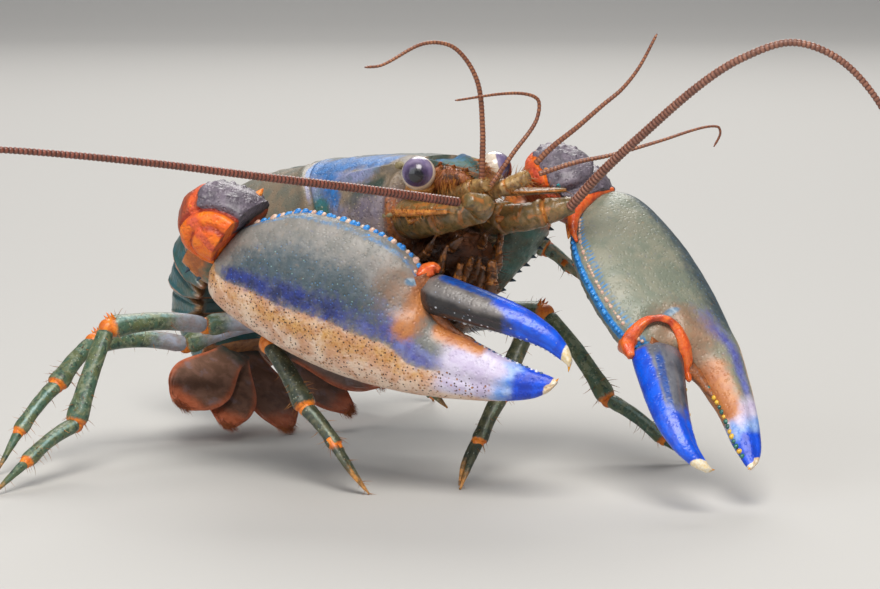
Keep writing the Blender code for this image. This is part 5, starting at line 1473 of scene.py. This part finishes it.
def mouth_pieces():
    """The folded mouth, and on each side a jaw foot with the palps and jaws beside it."""
    rows = []
    around, height = wheel(64)
    for share in np.arange(50) / 49:
        width, top, bottom = (along(MOUTH, share, c) for c in (1, 2, 3))
        z = (top + bottom) / 2 + (top - bottom) / 2 * height
        rows.append(bodies(width * around, front_line(z) * (1 - share) + 4.2 * share, z))
    rings = np.array(rows)
    folds = np.sin(rings[..., 0] * 4.2) * 0.16 + uneven(rings, 1.3, 5, 0.7)
    skin("mouth_core", (raised(rings, folds), {"hair": 1.0}), paints["mouth"], ["mouth"])
    for name, side in SIDES.items():
        route = [body(side * x, b, z) for x, b, z in JAW_FOOT]
        parts = [jointed(route, JAW_RADII, 200, 32, flat=0.75, collars=(0.33, 0.55, 0.72, 0.87))]
        for *route, r in PALPS:
            radii = ((0, r), (0.6, r * 0.95), (1.0, r * 0.3))
            route = [body(side * x, b, z) for x, b, z in route]
            parts.append(jointed(route, radii, 70, 20, collars=(0.35, 0.68)))
        skin(f"jaw_foot_skin_{name}", parts, paints["mouth_limb"], [f"jaw_foot_{name}"])


# Abdomen and tail fan
def ring_paint():
    p = Paint("ring", rough=0.36, coat=0.35, coat_rough=0.2)
    colour = p.mottled(("3c4a3e", "55523e"), 1.8)
    colour = p.rows(
        colour,
        ("teal", ("2f5f66", "33544f"), 1.6, 0.3, 0.45),
        ("lobe", ("8a6a45", "7a4f32"), 1.2, 0.3, 0.4),
        ("rim", ("b0774a", "8c5a38"), 0.8, 0.25, 0.4, 0.5),
    )
    return p.finish(colour, [(p.noise(1.4, 3.0), 0.1), (p.cells(0.5), 0.05), (p.noise(0.25, 2.0), 0.03)])


def fan_paint():
    p = Paint("fan", rough=0.42, coat=0.2, coat_rough=0.25)
    colour = p.mottled(("8a6656", "6e5040"), 1.8)
    colour = p.patches(colour, "8a7a80", 0.55, 0.7, 0.6, 2.2, 4.0)
    colour = p.rows(
        colour,
        ("rib", ("a5857a", "8d6a5c"), 0.8, 0.3, 0.3, 0.5),
        ("edge", ("c8704c", "b05a38"), 1.2, 0.45, 0.35, 0.6),
        ("root", ("4a4c44", "3b423e"), 1.2, 0.35, 0.4),
    )
    return p.finish(colour, [(p.noise(1.0, 3.0), 0.08), (p.noise(0.22, 2.0), 0.03)])


def fan_blade(origin, way, side, face, length, width, thick, count=88, rows_=90):
    """A ribbed blade: fine rays spread from its root, with a groove across before its soft end."""
    x, out = wheel(count)
    upper = out > 0
    s = np.linspace(0, 1, rows_)[:, None]
    round_end = np.sqrt(np.maximum(0.015, 1 - np.maximum(0.0, (s - 0.58) / 0.42) ** 2))
    half = width * (0.5 + 0.5 * step(0, 0.6, s)) * round_end
    t = thick * (1 - 0.45 * s)
    ribs = 1.1 * hill(x, 0, 0.07) + 0.8 * (hill(x, 0.54, 0.06) + hill(x, -0.54, 0.06))
    rays = 0.22 * np.sin(x * 46) * step(0.62, 0.8, s)
    full = 0.9 * np.sqrt(np.clip(1 - x**2, 0, 1)) ** 0.6
    z = np.where(upper, full + ribs * (1 - 0.5 * s) + rays, rays - full)
    z = z - 0.5 * hill(s, 0.63, 0.012) * upper
    jag = 0.04 * np.abs(np.sin(x * 30)) * step(0.9, 1.0, s)
    origin, way, side, face = (np.array(q) for q in (origin, way, side, face))
    rings = (origin + way * (length * (s + jag))[..., None] + side * (half * x)[..., None]
             + face * (t * z)[..., None])
    rings[..., 2] = np.maximum(rings[..., 2], 0.0)
    ones = np.ones_like(z)
    values = dict(rib=ribs * 0.9 * ones * upper, root=0.7 * (1 - step(0.0, 0.2, s)) * ones,
                  edge=np.maximum(step(0.72, 0.98, s) * ones, 0.8 * hill(np.abs(x), 1, 0.2) * ones),
                  fringe=step(0.94, 0.99, s) * ones)
    return rings, values


def tail_pieces():
    """The rings of the curled tail, each sliding under the one before, and the five blades of its fan."""
    spot = body(0, CARAPACE_LENGTH + 0.3, -7.6)
    count, steps = 96, 26
    sx, sz = wheel(count, OUTER_ROUND)
    for k, length in enumerate(RING_LENGTHS):
        turns = (RING_TURNS[k], RING_TURNS[k + 1] if k < 5 else FAN_TURN)
        rows, shares = [], []
        for j in range(steps + 1):
            share = j / steps
            backward, outward = curl_axes(turns[0] + (turns[1] - turns[0]) * share)
            width = RING_WIDTHS[k] + (RING_WIDTHS[k + 1] - RING_WIDTHS[k]) * share
            height = RING_HEIGHTS[k] + (RING_HEIGHTS[k + 1] - RING_HEIGHTS[k]) * share
            swell = 0.95 + 0.05 * share + 0.02 * hill(share, 0.9, 0.08) - 0.03 * hill(share, 0.3, 0.05)
            drop = FLAP_DROP[0] + FLAP_DROP[1] * math.sin(math.pi * min(1.0, 0.1 + share * 0.9))
            x, z = sx * width * swell, np.where(sz > 0, sz, sz * 0.55) * height * swell
            z = z - np.where(z < 0, drop * step(0, 1, (np.abs(x) / (width * swell) - 0.7) / 0.25), 0)
            ring = np.array(spot) + np.stack([x, 0 * x, 0 * x], -1) + np.array(outward) * z[:, None]
            rows.append(ring)
            shares.append(np.full(count, share))
            if j < steps:
                spot = spot + backward * ((length - 0.3 + (0.45 if k < 5 else 0)) / steps)
        if k < 5:
            spot = spot - curl_axes(turns[1])[0] * 0.45
        rings, share = np.array(rows), np.array(shares)
        rings = raised(rings, uneven(rings, 1.8, 3, 0.18) + grains(rings, 0.9, 0.4, 4) * 0.06)
        low_side = (step(0.0, 0.5, -sz) * step(0.6, 0.9, np.abs(sx)))[None] * np.ones_like(share)
        values = dict(teal=0.4 + 0.5 * noise(rings, 2.5, 9), lobe=low_side, rim=hill(share, 0.97, 0.08) * 0.9)
        skin(f"tail_ring_{k + 1}", (rings, values), paints["ring"], [f"abdomen_{k + 1}"])
        spot = spot + curl_axes(turns[1])[0] * 0.3
    backward, outward = curl_axes(FAN_TURN)
    across = Vector((1, 0, 0))
    blade = fan_blade(spot - backward * 0.4, backward, across, outward, TAIL_FAN_LENGTH + 0.4, 3.6, 0.45)
    skin("telson_skin", blade, paints["fan"], ["telson"])
    for name, side in SIDES.items():
        for part, (spread, shift, width, drop) in FAN_BLADES.items():
            turn = math.radians(spread) * side
            way = backward * math.cos(turn) + across * math.sin(turn)
            lateral = across * math.cos(turn) - backward * math.sin(turn)
            clear = 0.3 + 0.55 * width * math.sin(abs(turn))
            origin = spot + across * (side * shift) - outward * drop + backward * clear
            blade = fan_blade(origin - way * 0.5, way, lateral, outward, TAIL_FAN_LENGTH + 0.5, width, 0.4)
            skin(f"fan_skin_{name}_{part}", blade, paints["fan"], [f"tail_fan_{name}_{part}"])


# Bristles
# Width of one bristle's patch on its map
PATCH = 0.003


def bristle_mesh():
    """One slightly bent bristle a millimetre long, used only as the thing that is scattered."""
    rings = cone((0, 0, 0), (0, 0, 1), 0.035, 5, 5, 0.22, (1, 0, 0))
    verts, faces, _ = gridded([(rings, {})])
    mesh = bpy.data.meshes.new("bristle")
    mesh.from_pydata((verts * MM).tolist(), [], faces)
    mesh.shade_smooth()
    return bpy.data.objects.new("bristle", mesh)


SCATTER_INPUTS = {"Geometry": "Geometry", "Density": "Float", "Value": "String", "Item": "Object",
                  "Lean": "Vector", "Smallest": "Float", "Largest": "Float", "Seed": "Int",
                  "Material": "Material"}
SCATTER_NODES = {
    "source": "NodeGroupInput", "sink": "NodeGroupOutput", "value": "GeometryNodeInputNamedAttribute",
    "times": "ShaderNodeMath", "points": "GeometryNodeDistributePointsOnFaces",
    "wander": "FunctionNodeRandomValue", "lean": "ShaderNodeVectorMath", "stray": "ShaderNodeVectorMath",
    "turn": "FunctionNodeAlignRotationToVector", "size": "FunctionNodeRandomValue",
    "item": "GeometryNodeObjectInfo", "stand": "GeometryNodeInstanceOnPoints",
    "real": "GeometryNodeRealizeInstances", "colour": "GeometryNodeSetMaterial",
}
SCATTER_LINKS = (
    ("source", "Value", "value", "Name"), ("value", "Attribute", "times", 0),
    ("source", "Density", "times", 1), ("source", "Geometry", "points", "Mesh"),
    ("times", 0, "points", "Density"), ("source", "Seed", "points", "Seed"),
    ("source", "Seed", "wander", "Seed"), ("points", "Normal", "lean", 0), ("source", "Lean", "lean", 1),
    ("lean", 0, "stray", 0), ("wander", "Value", "stray", 1), ("stray", 0, "turn", "Vector"),
    ("source", "Smallest", "size", 2), ("source", "Largest", "size", 3),
    ("source", "Seed", "size", "Seed"), ("source", "Item", "item", "Object"),
    ("points", "Points", "stand", "Points"), ("item", "Geometry", "stand", "Instance"),
    ("turn", 0, "stand", "Rotation"), ("size", 1, "stand", "Scale"), ("stand", 0, "real", 0),
    ("real", 0, "colour", "Geometry"), ("source", "Material", "colour", "Material"), ("colour", 0, "sink", 0),
)
# How far a bristle strays from its lean, either way
STRAY = 0.3


def scatter_tree():
    """Nodes that stand bristles on a surface where a named value is high, leaning one way."""
    tree = bpy.data.node_groups.new("bristles", "GeometryNodeTree")
    inputs = {}
    for label, kind in SCATTER_INPUTS.items():
        inputs[label] = tree.interface.new_socket(name=label, in_out="INPUT", socket_type=f"NodeSocket{kind}")
    tree.interface.new_socket(name="Geometry", in_out="OUTPUT", socket_type="NodeSocketGeometry")
    nodes = {key: tree.nodes.new(kind) for key, kind in SCATTER_NODES.items()}
    nodes["value"].data_type = "FLOAT"
    nodes["times"].operation = "MULTIPLY"
    nodes["wander"].data_type = "FLOAT_VECTOR"
    nodes["wander"].inputs["Min"].default_value = (-STRAY, -STRAY, -STRAY)
    nodes["wander"].inputs["Max"].default_value = (STRAY, STRAY, STRAY)
    nodes["lean"].operation = "ADD"
    nodes["stray"].operation = "ADD"
    nodes["turn"].axis = "Z"
    nodes["size"].data_type = "FLOAT"
    for start, out, end, into in SCATTER_LINKS:
        tree.links.new(nodes[start].outputs[out], nodes[end].inputs[into])
    return tree, inputs


def corners_of(mesh):
    """The places of a mesh's points."""
    spots = np.empty(len(mesh.vertices) * 3, np.float32)
    mesh.vertices.foreach_get("co", spots)
    return spots.reshape(-1, 3)


def bake_map(mesh, skin_mesh, item_mesh):
    """A small patch for each bristle, at its root's place on an unwrap round the piece that it grows on."""
    item, skin_spots = corners_of(item_mesh)[:, [0, 2]], corners_of(skin_mesh)
    roots = corners_of(mesh).reshape(-1, len(item), 3)[:, 0]
    middle = skin_spots.mean(0)
    axes = np.linalg.svd(skin_spots - middle, full_matrices=False)[2]
    length = (skin_spots - middle) @ axes[0]
    length_at = ((roots - middle) @ axes[0] - length.min()) / np.ptp(length)
    round_at = np.arctan2((roots - middle) @ axes[2], (roots - middle) @ axes[1]) / (2 * np.pi) + 0.5
    patch = (item - item.min(0)) / np.ptp(item, axis=0) * PATCH
    spots = np.stack([round_at, np.clip(length_at, 0, 1)], -1)[:, None] * (1 - PATCH) + patch
    which = np.empty(len(mesh.loops), np.int32)
    mesh.loops.foreach_get("vertex_index", which)
    layer = mesh.uv_layers.new(name="OFBake")
    layer.data.foreach_set("uv", spots.reshape(-1, 2)[which].ravel().astype(np.float32))


def bristles(source, name, value, density, sizes, lean, seed, paint, slot):
    """Bristles on a finished piece, as a piece of their own."""
    modifier = source.modifiers.new("bristles", "NODES")
    modifier.node_group = scatter[0]
    settings = {"Density": density / MM**2, "Value": value, "Item": bristle, "Lean": lean,
                "Smallest": sizes[0], "Largest": sizes[1], "Seed": seed, "Material": paint}
    for label, setting in settings.items():
        modifier[scatter[1][label].identifier] = setting
    bpy.context.view_layer.update()
    graph = bpy.context.evaluated_depsgraph_get()
    mesh = bpy.data.meshes.new_from_object(source.evaluated_get(graph))
    source.modifiers.clear()
    bake_map(mesh, source.data, bristle.data)
    spots = corners_of(mesh)
    spots[:, 2] = np.maximum(spots[:, 2], 0.0)
    mesh.vertices.foreach_set("co", spots.ravel())
    mesh.update()
    made = bpy.data.objects.new(name, mesh)
    bpy.context.scene.collection.objects.link(made)
    mesh.shade_smooth()
    return give(made, paint)


# Bristles of each side's head: the piece that they stand on, their own name, the value that spreads them,
# bristles to the square millimetre, shortest and longest, lean, seed and colour
AHEAD = tuple(FORWARD * 0.9)
HEAD_BRISTLES = (
    ("jaw_foot_skin", "jaw_bristles", "along", 4.0, (0.6, 1.6), AHEAD, 31, "bristle_dark"),
    ("antenna_stem", "stem_bristles", "joint", 4.0, (0.5, 1.1), AHEAD, 41, "bristle_gold"),
    ("antennule_stem", "brow_bristles", "along", 5.0, (0.5, 1.4), AHEAD, 46, "bristle_gold"),
    ("brow", "brow_tuft", "hair", 12.0, (0.6, 1.5), (-0.3, -0.5, -0.9), 91, "bristle_gold"),
    ("scale_skin", "scale_bristles", "joint", 6.0, (0.6, 1.3), AHEAD, 51, "bristle_gold"),
)
FRINGE = ("fringe", 14.0, (0.6, 1.2), tuple(curl_axes(FAN_TURN)[0] * 3))


def grow_bristles():
    """Bristles on the legs, the feelers' stems, the mouthparts and the edge of the tail fan."""
    get = bpy.data.objects.get
    for k, name in enumerate(LEGS):
        bristles(get(f"leg_skin_{name}"), f"leg_bristles_{name}", "hair", 1.5, (0.5, 1.3), (0, -0.2, -0.5),
                 11 + k, paints["bristle_gold"], "leg")
    for k, name in enumerate(SIDES):
        for stand, own, value, density, sizes, lean, seed, paint in HEAD_BRISTLES:
            bristles(get(f"{stand}_{name}"), f"{own}_{name}", value, density, sizes, lean, seed + k,
                     paints[paint], "mouthpart")
        for part in FAN_BLADES:
            bristles(get(f"fan_skin_{name}_{part}"), f"fan_fringe_{name}_{part}", *FRINGE, 61 + k,
                     paints["fringe"], "tail_fan")
    bristles(get("telson_skin"), "telson_fringe", *FRINGE, 71, paints["fringe"], "tail_fan")
    bristles(get("mouth_core"), "mouth_bristles", "hair", 1.6, (0.6, 1.5), AHEAD, 81,
             paints["bristle_dark"], "mouthpart")


paints.update({
    "leg": leg_paint("leg", ("42604e", "5c6440"), ("8fb0ac", "9aa58a"), "7c8468"),
    # painted shade and painted light: darker and lighter copies of the leg paint
    "leg_painted_shade": leg_paint("leg_painted_shade", ("2e382c", "484a34"), ("6c7c6c", "7c7c5c"), "5c5c44"),
    "leg_painted_light": leg_paint("leg_painted_light", ("6c9088", "9a9a78"), ("b8c4b4", "c4b890"), "b0a888"),
    "mouth": plain_paint("mouth", ("442816", "663818"), 0.5, 1.2, 0.14, 0.12, third="1c110b"),
    "mouth_limb": stem_paint("mouth_limb", ("744622", "4a2e17"), "b06c2e"),
    "ring": ring_paint(),
    "fan": fan_paint(),
    "bristle_dark": plain_paint("bristle_dark", ("5a371a", "3a2414"), 0.5, 3.0, 0.0, 0.1),
    "bristle_gold": plain_paint("bristle_gold", ("b0712c", "8a5524"), 0.5, 3.0, 0.0, 0.1),
    "fringe": plain_paint("fringe", ("8c4420", "b0642e"), 0.55, 2.0, 0.0, 0.1),
})
for leg_name, (upper_points, lower_points) in LEGS.items():
    leg_piece(leg_name, (*upper_points, *lower_points))
mouth_pieces()
tail_pieces()
bristle = bristle_mesh()
scatter = scatter_tree()
grow_bristles()


# Room, lights and camera. The floor reaches this far to each side, in metres.
FLOOR_HALF = 6.0


def stage_and_camera():
    """A pale floor and backdrop, soft lights and the photograph's point of view."""
    s = FLOOR_HALF
    curve = np.linspace(0, 1.57, 14)
    bend = [(-s, 0.0)] + [(0.9 + 0.5 * math.sin(a), 0.5 - 0.5 * math.cos(a)) for a in curve]
    bend.append((1.4, s))
    turn = Matrix.Rotation(math.radians(VIEW_AZIMUTH), 4, "Z")
    verts = [turn @ Vector((x, y, z)) for y, z in bend for x in (-s, s)]
    faces = [(2 * k, 2 * k + 1, 2 * k + 3, 2 * k + 2) for k in range(len(bend) - 1)]
    mesh = bpy.data.meshes.new("floor")
    mesh.from_pydata(verts, [], faces)
    mesh.shade_smooth()
    floor = bpy.data.objects.new("floor", mesh)
    bpy.context.scene.collection.objects.link(floor)
    pale = bpy.data.materials.new("floor")
    pale.use_nodes = True
    shader = pale.node_tree.nodes["Principled BSDF"]
    shader.inputs["Base Color"].default_value = (0.5, 0.49, 0.47, 1)
    shader.inputs["Roughness"].default_value = 0.75
    mesh.materials.append(pale)
    floor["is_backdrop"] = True
    world = bpy.data.worlds.new("studio")
    world.use_nodes = True
    world.node_tree.nodes["Background"].inputs["Color"].default_value = (0.86, 0.9, 1.0, 1)
    world.node_tree.nodes["Background"].inputs["Strength"].default_value = 0.28
    bpy.context.scene.world = world
    lamps = (
        ("key", (-0.25, -0.45, 0.75), 0.45, 8.5, (1.0, 0.97, 0.92)),
        ("fill", (-0.75, -0.1, 0.35), 0.6, 2.2, (0.9, 0.95, 1.0)),
        ("back", (0.45, 0.55, 0.6), 0.5, 4.5, (1.0, 0.98, 0.95)),
    )
    for name, place, size, power, colour in lamps:
        light = bpy.data.lights.new(name, "AREA")
        light.size, light.energy, light.color = size, power, colour
        lamp = bpy.data.objects.new(name, light)
        bpy.context.scene.collection.objects.link(lamp)
        lamp.location = place
        aim = Vector((0.0, -0.01, 0.02)) - Vector(place)
        lamp.rotation_mode = "QUATERNION"
        lamp.rotation_quaternion = aim.to_track_quat("-Z", "Y")
    a, e = math.radians(VIEW_AZIMUTH), math.radians(VIEW_ELEVATION)
    right = Vector((math.cos(a), math.sin(a), 0))
    back = Vector((math.sin(a) * math.cos(e), -math.cos(a) * math.cos(e), math.sin(e)))
    up = back.cross(right)
    data = bpy.data.cameras.new("camera")
    data.sensor_width, data.lens, data.clip_start = 36.0, 126.0, 0.01
    camera = bpy.data.objects.new("camera", data)
    bpy.context.scene.collection.objects.link(camera)
    place = (Vector(CAMERA_PLACE) + SHIFT) * MM
    camera.matrix_world = Matrix((
        (right.x, up.x, back.x, place.x),
        (right.y, up.y, back.y, place.y),
        (right.z, up.z, back.z, place.z),
        (0, 0, 0, 1),
    ))
    bpy.context.scene.camera = camera
    bpy.context.scene.view_settings.view_transform = "Standard"


VIEW_AZIMUTH = -35.0
VIEW_ELEVATION = 8.0
CAMERA_PLACE = (-201.5, -309.4, 70.8)
stage_and_camera()
low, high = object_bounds()
